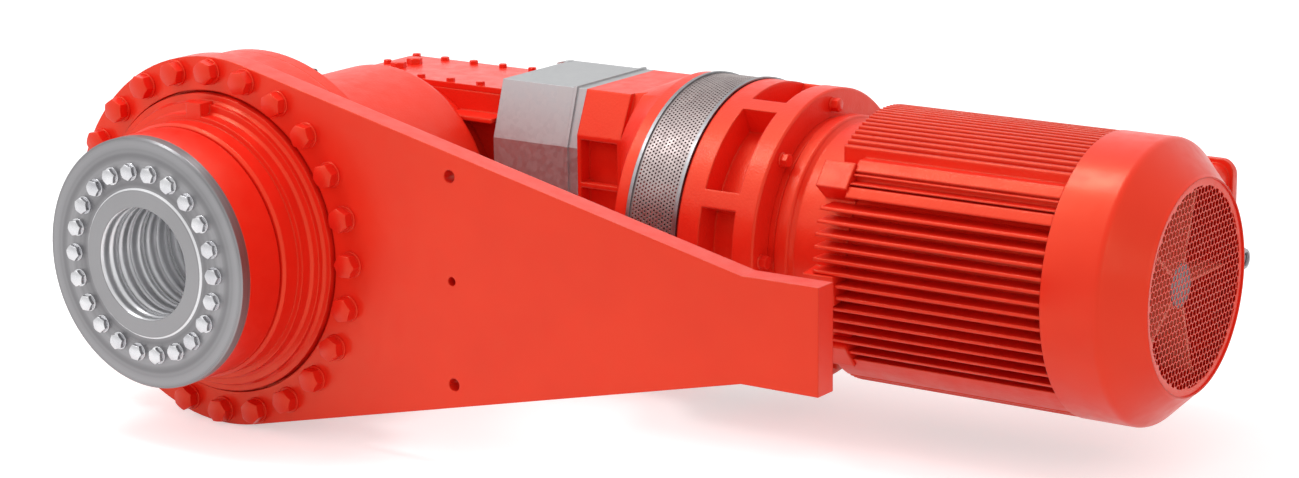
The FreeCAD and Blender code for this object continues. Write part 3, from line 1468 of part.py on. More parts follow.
def stator_housing():
    pieces = [rod("frame_tube", "frame_tube_radius", "frame_length",
                  ("shield_end", "line_distance", ""), "X")]

    def rib(name, low, thick, start="shield_end", half="motor_radius"):
        pieces.append(block(name, ("frame_end - " + start, "2 * " + half, thick),
                            (start, "line_distance - " + half, low)))

    for number in range(round(size("side_fin_count"))):
        rib("side_fin_%d" % number, "side_fin_lowest + %d * fin_pitch - fin_thick / 2" % number,
            "fin_thick", "fin_start")
    gap = "(upper_pad_two - upper_pad_one) / 3"
    rib("upper_pad_a", "upper_pad_one - upper_pad_thick / 2", "upper_pad_thick")
    rib("upper_pad_b", "upper_pad_two - upper_pad_thick / 2", "upper_pad_thick")
    rib("pad_floor", "upper_pad_one", "upper_pad_two - upper_pad_one", half="pad_floor_half")
    for number in (1, 2):
        rib("thin_fin_%d" % number, "upper_pad_one + %d * %s - fin_thick / 4" % (number, gap),
            "fin_thick / 2")
    rib("foot_pad", "foot_pad_foot", "foot_pad_top - foot_pad_foot", "fin_start")
    count = round(size("top_fin_count"))
    for number in range(count):
        place_y = "line_distance + (%d / 2) * top_fin_pitch - top_fin_thick / 2" % (
            2 * number - count + 1)
        pieces.append(block("top_fin_%d" % number,
                            ("fin_length", "top_fin_thick", "2 * motor_radius"),
                            ("fin_start", place_y, "0 - motor_radius")))
    ribs = joined("frame_ribs", pieces)
    round_limit = rod("frame_limit", "motor_radius", "fin_length",
                      ("fin_start", "line_distance", ""), "X")
    trimmed = doc.addObject("Part::Common", "frame_trimmed")
    trimmed.Base = ribs
    trimmed.Tool = round_limit
    foot = "2 * (box_foot_half + running_gap)"
    tools = joined("frame_cuts", [
        rod("frame_bore_cut", "frame_bore + seat_gap", "frame_length",
            ("shield_end", "line_distance", ""), "X"),
        rod("shield_room", "shield_neck_radius + running_gap", "fin_overhang",
            ("fin_start", "line_distance", ""), "X"),
        block("box_foot_cut", ("box_length - 2 * box_foot_inset + 2 * running_gap",
                               "pad_depth + box_lift", foot),
              ("box_start + box_foot_inset - running_gap", "box_seat",
               "0 - box_foot_half - running_gap"))]
        + shield_lugs("lug_room", "running_gap"))
    keep(cut("stator_housing", trimmed, tools))


def motor_inside():
    keep(turned("stator_core", tube("stator_bore", "frame_bore", "stator_start",
                                    "stator_start + stator_length", True), True))
    body = new_body("stator_windings", ("", "line_distance", ""))
    add_turn(body, "left", tube("winding_inner", "winding_outer",
                                "stator_start - winding_length", "stator_start", True), True)
    add_turn(body, "right", tube("winding_inner", "winding_outer",
                                 "stator_start + stator_length",
                                 "stator_start + stator_length + winding_length", True), True)
    keep(body)
    keep(turned("rotor_core", tube("motor_shaft_radius + shaft_fit", "stator_bore - air_gap",
                                   "stator_start", "stator_start + stator_length", True), True))
    shaft = rod("motor_shaft", "motor_shaft_radius", "motor_shaft_end - coupling_second",
                ("coupling_second", "line_distance", ""), "X")
    keep(shaft)
    one = bearing("motor_bearing_one", "motor_shaft_radius", "motor_bearing_height",
                  "shield_bearing", "shield_bearing + motor_bearing_width", True)
    two = bearing("motor_bearing_two", "motor_shaft_radius", "motor_bearing_height",
                  "rear_shield_bearing", "frame_end", True)
    for side, label in enumerate(("motor_bearing_inner_rings", "motor_bearing_outer_rings")):
        pair = doc.addObject("Part::Compound", label)
        pair.Links = [one[side], two[side]]
        keep(pair)


def cowl():
    inner = "cowl_radius - cowl_sheet"
    keep(turned("fan_cowl", [
        ("frame_end", inner), ("frame_end", "cowl_radius"), ("cone_start", "cowl_radius"),
        ("cowl_end", "cowl_mouth_radius"), ("cowl_end", "cowl_mouth_radius - cowl_lip"),
        ("cowl_end - cowl_sheet", "cowl_mouth_radius - cowl_lip"),
        ("cowl_end - cowl_sheet", "cowl_mouth_radius - cowl_sheet / 2"),
        ("cone_start - cowl_sheet / 2", inner)], line=True))
    # Grille plate with hexagonal openings
    face, thick = size("grille_face"), size("grille_thick")
    radius = size("cowl_mouth_radius - cowl_sheet / 2 - running_gap")
    plate = x_cylinder(radius, face - thick, face)
    pitch, bar = size("grille_pitch"), size("grille_bar")
    corner = (pitch - bar) / math.sqrt(3)
    line = size("line_distance")
    limit = radius - pitch / 2 - bar / 2
    rows = int(radius / pitch) + 2
    holes = []
    for row in range(-rows, rows + 1):
        for column in range(-rows, rows + 1):
            y = pitch * (column + row / 2.0)
            z = pitch * row * math.sqrt(3) / 2
            if math.hypot(y, z) > limit:
                continue
            points = [FreeCAD.Vector(face - thick - PAST,
                                     line + y + corner * math.sin(math.radians(60 * i)),
                                     z + corner * math.cos(math.radians(60 * i)))
                      for i in range(7)]
            holes.append(Part.Face(Part.makePolygon(points)).extrude(
                FreeCAD.Vector(thick + 2 * PAST, 0, 0)))
    keep(shaped("fan_grille", plate.cut(Part.makeCompound(holes))))


def rounded_plate(body, name, plane_lift, height, length, inset=None, outer=NOUGHT):
    """A rounded rectangle across Y, with an opening when an inset is given."""
    sketch = new_sketch(body, "XZ_Plane", name, "0 - (%s)" % plane_lift)

    def edge(inward, rounding):
        x_low, x_high = "box_start + " + inward, "box_end - " + inward
        z_high = height + " - " + inward
        outline(sketch, [(x_low, "0 - (%s)" % z_high, rounding),
                         (x_high, "0 - (%s)" % z_high, rounding),
                         (x_high, z_high, rounding), (x_low, z_high, rounding)])

    edge("(%s)" % outer, "box_round")
    if inset:
        edge(inset, "box_round - " + inset)
    pad = body.newObject("PartDesign::Pad", body.Label + "_" + name)
    pad.Profile = sketch
    bind(pad, "Length", length)
    pad.Reversed = True
    body.Tip = pad
    return pad


def terminal_box():
    body = new_body("terminal_box_turned")
    rounded_plate(body, "floor", "box_back", "box_half_height", "box_wall")
    rounded_plate(body, "walls", "box_back", "box_half_height", "lid_seat - box_back",
                  "box_wall")
    rounded_plate(body, "rim", "lid_seat - box_rim_thick", "box_half_height", "box_rim_thick",
                  "box_wall", "0 - box_rim")
    foot = block("box_foot", ("box_length - 2 * box_foot_inset", "box_back - box_seat",
                              "2 * box_foot_half"),
                 ("box_start + box_foot_inset", "box_seat", "0 - box_foot_half"))
    entry = rod("gland_entry", "gland_bore", "4 * box_wall",
                ("box_end - 3 * box_wall", "(box_back + lid_seat) / 2", "gland_height"), "X")
    whole = joined("box_casting", [body, foot])
    keep(cut("terminal_box", whole, entry))
    lid = new_body("terminal_box_lid")
    rounded_plate(lid, "lid", "lid_seat", "box_half_height", "lid_thick")
    keep(lid)
    gland = joined("gland_body", [
        rod("gland_barrel", "gland_radius", "gland_length",
            ("box_end", "(box_back + lid_seat) / 2", "gland_height"), "X"),
        rod("gland_nut", "gland_radius + gland_bore / 3", "gland_collar",
            ("box_end", "(box_back + lid_seat) / 2", "gland_height"), "X")])
    way = rod("gland_way", "gland_bore", "gland_length",
              ("box_end", "(box_back + lid_seat) / 2", "gland_height"), "X")
    keep(cut("cable_gland", gland, way))


for make in (hollow_shaft, shrink_disc, seal_cover, torque_arm, planetary_gears, carrier,
             output_bearings, drum, breather, bevel_gears, stage_bearings, bevel_housing,
             housing_covers, air_guide, neck, fan_housing, guard, lantern, fans, coupling,
             motor_shields, stator_housing, motor_inside, cowl, terminal_box):
    make()

doc.recompute()
for thing in doc.Objects:
    if "Invalid" in thing.State or "Error" in thing.State:
        raise RuntimeError("%s has a fault: %s" % (thing.Label, thing.State))
for piece in PARTS:
    if piece.Shape.isNull() or not piece.Shape.isValid():
        raise RuntimeError("%s has no valid shape" % piece.Label)
os.makedirs("parts", exist_ok=True)
for piece in PARTS:
    piece.Shape.exportStep("parts/%s.step" % piece.Label)
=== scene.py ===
"""Looks of the shaft-mounted planetary gear motor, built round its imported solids.

Metres, +Z up. The output shaft turns about the Y axis and faces -Y. The motor line runs
along +X through LINE_Y, level with the origin.
"""

import math

import bmesh
import bpy
from mathutils import Matrix, Vector

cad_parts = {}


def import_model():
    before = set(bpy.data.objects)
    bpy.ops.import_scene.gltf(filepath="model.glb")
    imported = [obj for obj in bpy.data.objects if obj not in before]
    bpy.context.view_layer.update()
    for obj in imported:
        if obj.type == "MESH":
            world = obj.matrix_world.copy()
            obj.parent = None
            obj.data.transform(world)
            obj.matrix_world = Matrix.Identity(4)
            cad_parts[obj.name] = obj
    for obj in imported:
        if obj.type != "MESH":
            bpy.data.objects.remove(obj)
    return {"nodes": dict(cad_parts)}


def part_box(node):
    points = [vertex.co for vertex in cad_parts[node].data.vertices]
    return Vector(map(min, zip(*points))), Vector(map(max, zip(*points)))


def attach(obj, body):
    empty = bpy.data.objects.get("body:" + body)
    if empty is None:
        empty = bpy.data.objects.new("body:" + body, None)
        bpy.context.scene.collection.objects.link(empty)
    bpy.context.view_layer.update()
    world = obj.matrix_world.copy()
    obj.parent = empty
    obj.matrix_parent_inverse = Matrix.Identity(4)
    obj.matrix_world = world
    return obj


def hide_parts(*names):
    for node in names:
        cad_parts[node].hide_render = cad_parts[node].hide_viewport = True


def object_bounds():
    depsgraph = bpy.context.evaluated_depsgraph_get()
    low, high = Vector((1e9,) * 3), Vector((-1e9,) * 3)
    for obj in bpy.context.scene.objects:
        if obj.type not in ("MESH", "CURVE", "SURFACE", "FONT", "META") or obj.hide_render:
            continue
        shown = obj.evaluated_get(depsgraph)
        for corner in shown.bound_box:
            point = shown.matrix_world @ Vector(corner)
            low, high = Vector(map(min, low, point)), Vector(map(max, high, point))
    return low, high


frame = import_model()
cad_low, cad_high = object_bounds()
nodes = frame["nodes"]
scene = bpy.context.scene

# Places read from the frame
guard_low, guard_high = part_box("perforated_guard")
LINE_Y = (guard_low.y + guard_high.y) / 2
LINE = Vector((0, LINE_Y, 0))
Y_AXIS = Vector((0, 1, 0))
X_AXIS = Vector((1, 0, 0))
Z_AXIS = Vector((0, 0, 1))


def middle(low, high):
    return (low + high) / 2


def linear(red, green, blue):
    """A colour written in 0 to 255 display values, as the shader's linear values."""
    parts = []
    for value in (red, green, blue):
        share = value / 255
        if share <= 0.04045:
            parts.append(share / 12.92)
        else:
            parts.append(((share + 0.055) / 1.055) ** 2.4)
    return (parts[0], parts[1], parts[2], 1.0)


# Materials

# Colours in 0 to 255 display values; each finish clouds from its colour to its shade
SIGNAL_RED = (231, 36, 21)
SIGNAL_RED_SHADE = (226, 31, 19)
BOLT_RED = (222, 28, 19)
GLOSS_OF_RED = (255, 186, 122)
FAN_RED = (246, 138, 112)
FAN_RED_SHADE = (238, 122, 98)
STEEL = (146, 145, 147)
STEEL_SHADE = (118, 117, 119)
# The bore's pair is lifted near white: painted reflection, standing in for light inside the bore
BORE_PAINTED_REFLECTION = (232, 232, 234)
BORE_PAINTED_REFLECTION_LOW = (204, 204, 207)
GEAR_STEEL = (150, 150, 154)
GEAR_STEEL_SHADE = (118, 118, 124)
SCREW_STEEL = (206, 206, 208)
SCREW_STEEL_SHADE = (184, 184, 188)
BAND_STEEL = (150, 150, 152)
BAND_STEEL_SHADE = (138, 138, 141)
GUARD_STEEL = (158, 146, 144)
GUARD_STEEL_SHADE = (146, 134, 133)
CAST_GREY = (150, 146, 142)
CAST_GREY_SHADE = (126, 122, 118)
ZINC = (176, 177, 178)
ZINC_SHADE = (168, 169, 171)
RUBBER = (30, 30, 32)
RUBBER_SHADE = (20, 20, 22)
BLACK_PLASTIC = (44, 42, 44)
BLACK_PLASTIC_SHADE = (30, 28, 30)
GREY_PLASTIC = (186, 184, 188)
GREY_PLASTIC_SHADE = (170, 168, 173)
CORE_SHEET = (104, 106, 110)
CORE_SEAM = (70, 72, 76)
WIRE = (184, 92, 44)
WIRE_SHADE = (112, 46, 18)

PAINT_COAT = 0.12
FACE_DEPTH = 0.0012
BORE_WAVE = 0.021
CORE_SHEET_THICK = 0.001


class Material:
    """A node material with short helpers for the nodes that the finishes share."""

    def __init__(self, name):
        self.data = bpy.data.materials.new(name)
        self.data.use_nodes = True
        self.tree = self.data.node_tree
        self.shader = self.tree.nodes["Principled BSDF"]
        place = self.node("ShaderNodeTexCoord")
        self.place = place.outputs["Object"]

    def node(self, kind, **settings):
        made = self.tree.nodes.new(kind)
        for key, value in settings.items():
            setattr(made, key, value)
        return made

    def link(self, source, target):
        self.tree.links.new(source, target)

    def set(self, **values):
        for key, value in values.items():
            self.shader.inputs[key.replace("_", " ")].default_value = value

    def noise(self, scale, detail=3.0, vector=None):
        made = self.node("ShaderNodeTexNoise")
        made.inputs["Scale"].default_value = scale
        made.inputs["Detail"].default_value = detail
        self.link(vector or self.place, made.inputs["Vector"])
        return made.outputs["Fac"]

    def ramp(self, value, low, high, start=0.35, end=0.65):
        """A number or colour that goes from low to high as value goes from start to end."""
        made = self.node("ShaderNodeValToRGB")
        first, last = made.color_ramp.elements
        first.position, last.position = start, end
        first.color, last.color = low, high
        self.link(value, made.inputs["Fac"])
        return made.outputs["Color"]

    def number(self, value, low, high):
        made = self.node("ShaderNodeMapRange")
        made.inputs["From Min"].default_value = 0.3
        made.inputs["From Max"].default_value = 0.7
        made.inputs["To Min"].default_value = low
        made.inputs["To Max"].default_value = high
        self.link(value, made.inputs["Value"])
        return made.outputs["Result"]

    def maths(self, operation, one, two=None):
        made = self.node("ShaderNodeMath", operation=operation)
        for socket, value in zip(made.inputs, (one, two)):
            if value is None:
                continue
            if isinstance(value, (int, float)):
                socket.default_value = value
            else:
                self.link(value, socket)
        return made.outputs["Value"]

    def round_edges(self, radius):
        made = self.node("ShaderNodeBevel", samples=6)
        made.inputs["Radius"].default_value = radius
        return made.outputs["Normal"]

    def bump(self, height, distance, strength=1.0, normal=None):
        made = self.node("ShaderNodeBump")
        made.inputs["Distance"].default_value = distance
        made.inputs["Strength"].default_value = strength
        self.link(height, made.inputs["Height"])
        if normal:
            self.link(normal, made.inputs["Normal"])
        return made.outputs["Normal"]

    def turned_place(self, about_line):
        """Coordinates of (radius, along) about the output axis or the motor line."""
        split = self.node("ShaderNodeSeparateXYZ")
        self.link(self.place, split.inputs["Vector"])
        if about_line:
            side = self.maths("SUBTRACT", split.outputs["Y"], LINE_Y)
            along = split.outputs["X"]
        else:
            side = split.outputs["X"]
            along = split.outputs["Y"]
        square = self.maths("MULTIPLY", side, side)
        height = self.maths("MULTIPLY", split.outputs["Z"], split.outputs["Z"])
        radius = self.maths("SQRT", self.maths("ADD", square, height))
        joined = self.node("ShaderNodeCombineXYZ")
        self.link(radius, joined.inputs["X"])
        self.link(along, joined.inputs["Y"])
        return joined.outputs["Vector"]

    def wave_along(self, pitch):
        """A smooth wave along Y, for a bore that was turned in steps."""
        split = self.node("ShaderNodeSeparateXYZ")
        self.link(self.place, split.inputs["Vector"])
        turns = self.maths("MULTIPLY", split.outputs["Y"], 2 * math.pi / pitch)
        return self.maths("SINE", turns)

    def faced(self, tone, front):
        """Darken a colour to plain steel on the end face in the plane Y = front, which keeps a
        painted reflection off that face.
        """
        split = self.node("ShaderNodeSeparateXYZ")
        self.link(self.place, split.inputs["Vector"])
        on_face = self.maths("LESS_THAN", split.outputs["Y"], front + FACE_DEPTH)
        mix = self.node("ShaderNodeMix", data_type="RGBA")
        self.link(on_face, mix.inputs["Factor"])
        self.link(tone, mix.inputs["A"])
        mix.inputs["B"].default_value = linear(*STEEL)
        return mix.outputs["Result"]


def paint(name, grain, depth, roughness, edge, colour=SIGNAL_RED):
    """Sprayed enamel: a slight cloud of colour, orange peel or cast grain, round edges."""
    made = Material(name)
    cloud = made.noise(7.0, 2.0)
    made.link(made.ramp(cloud, linear(*SIGNAL_RED_SHADE), linear(*colour)),
              made.shader.inputs["Base Color"])
    wear = made.noise(42.0, 4.0)
    made.link(made.number(wear, roughness - 0.06, roughness + 0.07),
              made.shader.inputs["Roughness"])
    normal = made.bump(made.noise(grain, 2.0), depth, 1.0, made.round_edges(edge))
    made.link(normal, made.shader.inputs["Normal"])
    made.link(normal, made.shader.inputs["Coat Normal"])
    made.set(Coat_Weight=PAINT_COAT, Coat_Roughness=0.14, Specular_IOR_Level=0.8,
             Specular_Tint=linear(*GLOSS_OF_RED))
    return made.data


def turned_steel(name, about_line, roughness, colour=STEEL, shade=STEEL_SHADE,
                 metallic=1.0, front=None, waves=0.0):
    """Bare metal from the lathe: fine rings in colour, gloss and height."""
    made = Material(name)
    rings = made.turned_place(about_line)
    fine = made.noise(900.0, 3.0, rings)
    broad = made.noise(60.0, 2.0, rings)
    tone = made.ramp(broad, linear(*shade), linear(*colour))
    if front is not None:
        tone = made.faced(tone, front)
    made.link(tone, made.shader.inputs["Base Color"])
    made.link(made.number(fine, roughness - 0.07, roughness + 0.07),
              made.shader.inputs["Roughness"])
    normal = made.bump(fine, 0.00004, 1.0, made.round_edges(0.0012))
    if waves:
        normal = made.bump(made.wave_along(waves), 0.0030, 1.0, normal)
    made.link(normal, made.shader.inputs["Normal"])
    if not about_line:
        ring_way = made.node("ShaderNodeTangent", direction_type="RADIAL", axis="Y")
        made.link(ring_way.outputs["Tangent"], made.shader.inputs["Tangent"])
        made.set(Anisotropic=0.75, Anisotropic_Rotation=0.25)
    made.set(Metallic=metallic)
    return made.data


def plain_metal(name, colour, shade, roughness, grain=320.0, depth=0.00008, metallic=1.0):
    """Metal without a lay of its own: a faint cloud, uneven gloss and a fine grain."""
    made = Material(name)
    cloud = made.noise(26.0, 3.0)
    made.link(made.ramp(cloud, linear(*shade), linear(*colour)),
              made.shader.inputs["Base Color"])
    made.link(made.number(made.noise(90.0, 4.0), roughness - 0.06, roughness + 0.08),
              made.shader.inputs["Roughness"])
    normal = made.bump(made.noise(grain, 3.0), depth, 1.0, made.round_edges(0.0008))
    made.link(normal, made.shader.inputs["Normal"])
    made.set(Metallic=metallic)
    return made.data


def zinc_sheet(name):
    """Galvanised sheet with its faint flowers of zinc."""
    made = Material(name)
    flowers = made.node("ShaderNodeTexVoronoi")
    flowers.inputs["Scale"].default_value = 130.0
    made.link(made.place, flowers.inputs["Vector"])
    grey = made.node("ShaderNodeRGBToBW")
    made.link(flowers.outputs["Color"], grey.inputs["Color"])
    made.link(made.ramp(grey.outputs["Val"], linear(*ZINC_SHADE), linear(*ZINC), 0.2, 0.8),
              made.shader.inputs["Base Color"])
    made.link(made.number(grey.outputs["Val"], 0.40, 0.50), made.shader.inputs["Roughness"])
    normal = made.bump(made.noise(14.0, 2.0), 0.0001, 0.5, made.round_edges(0.0012))
    made.link(normal, made.shader.inputs["Normal"])
    made.set(Metallic=0.75)
    return made.data


def moulded(name, colour, shade, roughness):
    """Moulded plastic or rubber with a fine even grain."""
    made = Material(name)
    made.link(made.ramp(made.noise(30.0), linear(*shade), linear(*colour)),
              made.shader.inputs["Base Color"])
    made.link(made.number(made.noise(160.0, 4.0), roughness - 0.06, roughness + 0.06),
              made.shader.inputs["Roughness"])
    normal = made.bump(made.noise(1100.0, 2.0), 0.00012, 0.6, made.round_edges(0.0008))
    made.link(normal, made.shader.inputs["Normal"])
    return made.data


def layered_iron(name):
    """Stacked core sheets, seen as fine lines across the motor line."""
    made = Material(name)
    split = made.node("ShaderNodeSeparateXYZ")
    made.link(made.place, split.inputs["Vector"])
    turns = made.maths("MULTIPLY", split.outputs["X"], 2 * math.pi / CORE_SHEET_THICK)
    height = made.maths("MULTIPLY_ADD", made.maths("SINE", turns), 0.5)
    made.link(made.ramp(height, linear(*CORE_SEAM), linear(*CORE_SHEET), 0.0, 1.0),
              made.shader.inputs["Base Color"])
    made.link(made.bump(height, 0.0001), made.shader.inputs["Normal"])
    made.set(Metallic=0.8, Roughness=0.5)
    return made.data


def windings(name):
    """Enamelled copper wire, laid round the motor line."""
    made = Material(name)
    wire = made.noise(700.0, 2.0, made.turned_place(True))
    made.link(made.ramp(wire, linear(*WIRE_SHADE), linear(*WIRE)),
              made.shader.inputs["Base Color"])
    made.link(made.bump(wire, 0.0008), made.shader.inputs["Normal"])
    made.set(Metallic=0.6, Roughness=0.35)
    return made.data


red_plate = paint("red_plate", grain=900.0, depth=0.00006, roughness=0.34, edge=0.0030)
red_cast = paint("red_cast", grain=260.0, depth=0.00035, roughness=0.42, edge=0.0045)
red_sheet = paint("red_sheet", grain=500.0, depth=0.00003, roughness=0.34, edge=0.0015)
red_bolt = paint("red_bolt", grain=800.0, depth=0.00008, roughness=0.38, edge=0.0010,
                 colour=BOLT_RED)
disc_steel = turned_steel("disc_steel", False, 0.34)
# The bore is painted near white as a painted reflection of light inside it; its end face stays
# plain steel
bore_painted_reflection = turned_steel("bore_painted_reflection", False, 0.34, BORE_PAINTED_REFLECTION, BORE_PAINTED_REFLECTION_LOW,
                          metallic=0.6, front=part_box("hollow_shaft")[0].y, waves=BORE_WAVE)
red_plastic = moulded("red_plastic", FAN_RED, FAN_RED_SHADE, 0.45)
line_steel = turned_steel("line_steel", True, 0.30)
gear_steel = turned_steel("gear_steel", False, 0.36, GEAR_STEEL, GEAR_STEEL_SHADE)
screw_steel = plain_metal("screw_steel", SCREW_STEEL, SCREW_STEEL_SHADE, 0.26)
sheet_zinc = zinc_sheet("sheet_zinc")
band_steel = plain_metal("band_steel", BAND_STEEL, BAND_STEEL_SHADE, 0.38)
guard_steel = plain_metal("guard_steel", GUARD_STEEL, GUARD_STEEL_SHADE, 0.42)
cast_grey = plain_metal("cast_grey", CAST_GREY, CAST_GREY_SHADE, 0.5, grain=240.0,
                        depth=0.0003, metallic=0.7)
black_rubber = moulded("black_rubber", RUBBER, RUBBER_SHADE, 0.6)
black_plastic = moulded("black_plastic", BLACK_PLASTIC, BLACK_PLASTIC_SHADE, 0.42)
grey_plastic = moulded("grey_plastic", GREY_PLASTIC, GREY_PLASTIC_SHADE, 0.45)
core_iron = layered_iron("core_iron")
copper_wire = windings("copper_wire")

FINISHES = {
    red_plate: ("torque_arm", "output_cover", "housing_top_cover", "shrink_disc_outer_ring",
                "rear_bearing_cap", "terminal_box_lid"),
    red_cast: ("drum_housing", "ring_gear", "bevel_housing", "fan_housing",
               "coupling_lantern", "adapter_ring", "motor_drive_shield", "motor_rear_shield",
               "stator_housing", "terminal_box", "input_neck"),
    red_sheet: ("fan_cowl", "fan_grille"),
    red_bolt: ("arm_bolts", "top_cover_bolts", "lantern_bolts", "rear_cap_bolts"),
    disc_steel: ("shrink_disc_inner_ring",),
    bore_painted_reflection: ("hollow_shaft",),
    line_steel: ("motor_shaft", "pinion_shaft", "motor_bearing_inner_rings",
                 "motor_bearing_outer_rings", "pinion_bearing_inner_rings",
                 "pinion_bearing_outer_rings"),
    gear_steel: ("planet_gear_1", "planet_gear_2", "planet_gear_3", "sun_shaft",
                 "planet_pins", "bevel_wheel", "output_bearing_inner_rings",
                 "output_bearing_outer_rings", "sun_bearing_inner_rings",
                 "sun_bearing_outer_rings"),
    screw_steel: ("shrink_disc_screws", "oil_plugs"),
    band_steel: ("guard_edge_rings",),
    guard_steel: ("perforated_guard",),
    sheet_zinc: ("air_guide_shell",),
    cast_grey: ("planet_carrier", "cooling_fan", "coupling_half_gear_side",
                "coupling_half_motor_side"),
    red_plastic: ("motor_fan",),
    black_rubber: ("shaft_seal", "coupling_spider"),
    black_plastic: ("breather_plug",),
    grey_plastic: ("cable_gland",),
    core_iron: ("stator_core", "rotor_core"),
    copper_wire: ("stator_windings",),
}


def finish_nodes():
    for material, names in FINISHES.items():
        for name in names:
            slots = nodes[name].material_slots
            if not slots:
                nodes[name].data.materials.append(material)
            for one in slots:
                one.material = material


# Mesh helpers

LARGE_STEPS = 128
SMALL_STEPS = 28
ON_AXIS = 1e-9
MERGE_DISTANCE = 1e-7


def basis(place, axis):
    """A frame at place whose Z points along axis."""
    forward = Vector(axis).normalized()
    upright = Z_AXIS if abs(forward.z) < 0.9 else X_AXIS
    side = upright.cross(forward).normalized()
    up = forward.cross(side)
    turn = Matrix((side, up, forward)).transposed().to_4x4()
    return Matrix.Translation(place) @ turn


def lathe(bm, profile, steps, matrix):
    """Turn closed corners of (radius, along) round the Z axis of matrix."""
    rings = []
    for step in range(steps):
        angle = 2 * math.pi * step / steps
        spread = Vector((math.cos(angle), math.sin(angle), 0))
        rings.append([bm.verts.new(matrix @ (spread * radius + Z_AXIS * along))
                      for radius, along in profile])
    for step in range(steps):
        here, there = rings[step], rings[(step + 1) % steps]
        for i in range(len(profile)):
            k = (i + 1) % len(profile)
            if profile[i][0] < ON_AXIS and profile[k][0] < ON_AXIS:
                continue
            bm.faces.new((here[i], there[i], there[k], here[k]))


def add_ngon_stack(bm, rings, matrix):
    """Join rings of equally many points, each (x, y, z), and close both ends."""
    loops = [[bm.verts.new(matrix @ Vector(point)) for point in ring] for ring in rings]
    count = len(loops[0])
    for low, high in zip(loops, loops[1:]):
        for i in range(count):
            k = (i + 1) % count
            bm.faces.new((low[i], low[k], high[k], high[i]))
    bm.faces.new(list(reversed(loops[0])))
    bm.faces.new(loops[-1])


def hexagon(across, per_side, turn=0.0):
    """Points of (x, y, distance from the middle) along the six sides of a hexagon."""
    corner = across / math.sqrt(3)
    points = []
    for side in range(6):
        start, end = (math.radians(60 * s) + turn for s in (side, side + 1))
        for step in range(per_side):
            share = step / per_side
            x = corner * ((1 - share) * math.cos(start) + share * math.cos(end))
            y = corner * ((1 - share) * math.sin(start) + share * math.sin(end))
            points.append((x, y, math.hypot(x, y)))
    return points


HEAD_CHAMFER = math.radians(30)
CROWN_SHARE = 0.94
WASHER_BEVEL = 0.3
SOCKET_EDGE = 0.1
SOCKET_FLOOR = 0.45


def add_hex_head(bm, matrix, across, height, washer=0.0, washer_radius=0.0, turn=0.0):
    """A hexagon head with turned corners, on a round washer where one is given."""
    if washer:
        bevel = washer * WASHER_BEVEL
        lathe(bm, [(0, 0), (washer_radius, 0), (washer_radius, washer - bevel),
                   (washer_radius - bevel, washer), (0, washer)], SMALL_STEPS, matrix)
    points = hexagon(across, 4, turn)
    crown = across / 2 * CROWN_SHARE
    fall = math.tan(HEAD_CHAMFER)
    foot = [(x, y, washer) for x, y, reach in points]
    rim = [(x, y, height - (reach - crown) * fall) for x, y, reach in points]
    top = [(x / reach * crown, y / reach * crown, height) for x, y, reach in points]
    add_ngon_stack(bm, (foot, rim, top), matrix)


def add_socket_head(bm, matrix, radius, height, socket):
    """A cylinder head with a hexagon socket."""
    edge = radius * SOCKET_EDGE
    outer = [(radius, 0.0), (radius, height - edge), (radius - edge, height)]
    points = hexagon(socket, 4)
    deep = height * SOCKET_FLOOR
    rings = [[(x / reach * r, y / reach * r, z) for x, y, reach in points] for r, z in outer]
    rings.append([(x, y, height) for x, y, reach in points])
    rings.append([(x, y, deep) for x, y, reach in points])
    add_ngon_stack(bm, rings, matrix)


def make_piece(bm, name, body, material, replaces=(), sharp=32):
    """Finish a mesh as a piece that rides on a body, with edges over sharp degrees kept."""
    bmesh.ops.remove_doubles(bm, verts=bm.verts, dist=MERGE_DISTANCE)
    bmesh.ops.recalc_face_normals(bm, faces=bm.faces)
    limit = math.radians(sharp)
    for face in bm.faces:
        face.smooth = True
    for edge in bm.edges:
        if len(edge.link_faces) == 2 and edge.calc_face_angle() > limit:
            edge.smooth = False
    mesh = bpy.data.meshes.new(name)
    bm.to_mesh(mesh)
    bm.free()
    mesh.materials.append(material)
    piece = bpy.data.objects.new(name, mesh)
    scene.collection.objects.link(piece)
    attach(piece, body)
    if replaces:
        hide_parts(*replaces)
    return piece


# Bolts

TURN_TO_NEXT = math.radians(37)
WASHER_REACH = 0.62


def ring_of_bolts(name, node, about_line, facing, circle, count, across, washer_share,
                  material, body):
    """Bolt heads on a circle in place of a node's plain ones, facing along an axis.

    Each head is turned a little further than the last, as tightened bolts stand.
    """
    low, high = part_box(node)
    axis = X_AXIS if about_line else Y_AXIS
    along = low.dot(axis) if facing > 0 else high.dot(axis)
    height = (high - low).dot(axis)
    bm = bmesh.new()
    for number in range(count):
        angle = 2 * math.pi * number / count
        if about_line:
            spread = Vector((0, math.cos(angle), math.sin(angle))) * circle + LINE
        else:
            spread = Vector((math.cos(angle), 0, math.sin(angle))) * circle
        matrix = basis(spread + axis * along, axis * facing)
        add_hex_head(bm, matrix, across, height, height * washer_share,
                     across * WASHER_REACH, TURN_TO_NEXT * number)
    return make_piece(bm, name, body, material, (node,))


def half_height(node):
    low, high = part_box(node)
    return (high.z - low.z) / 2


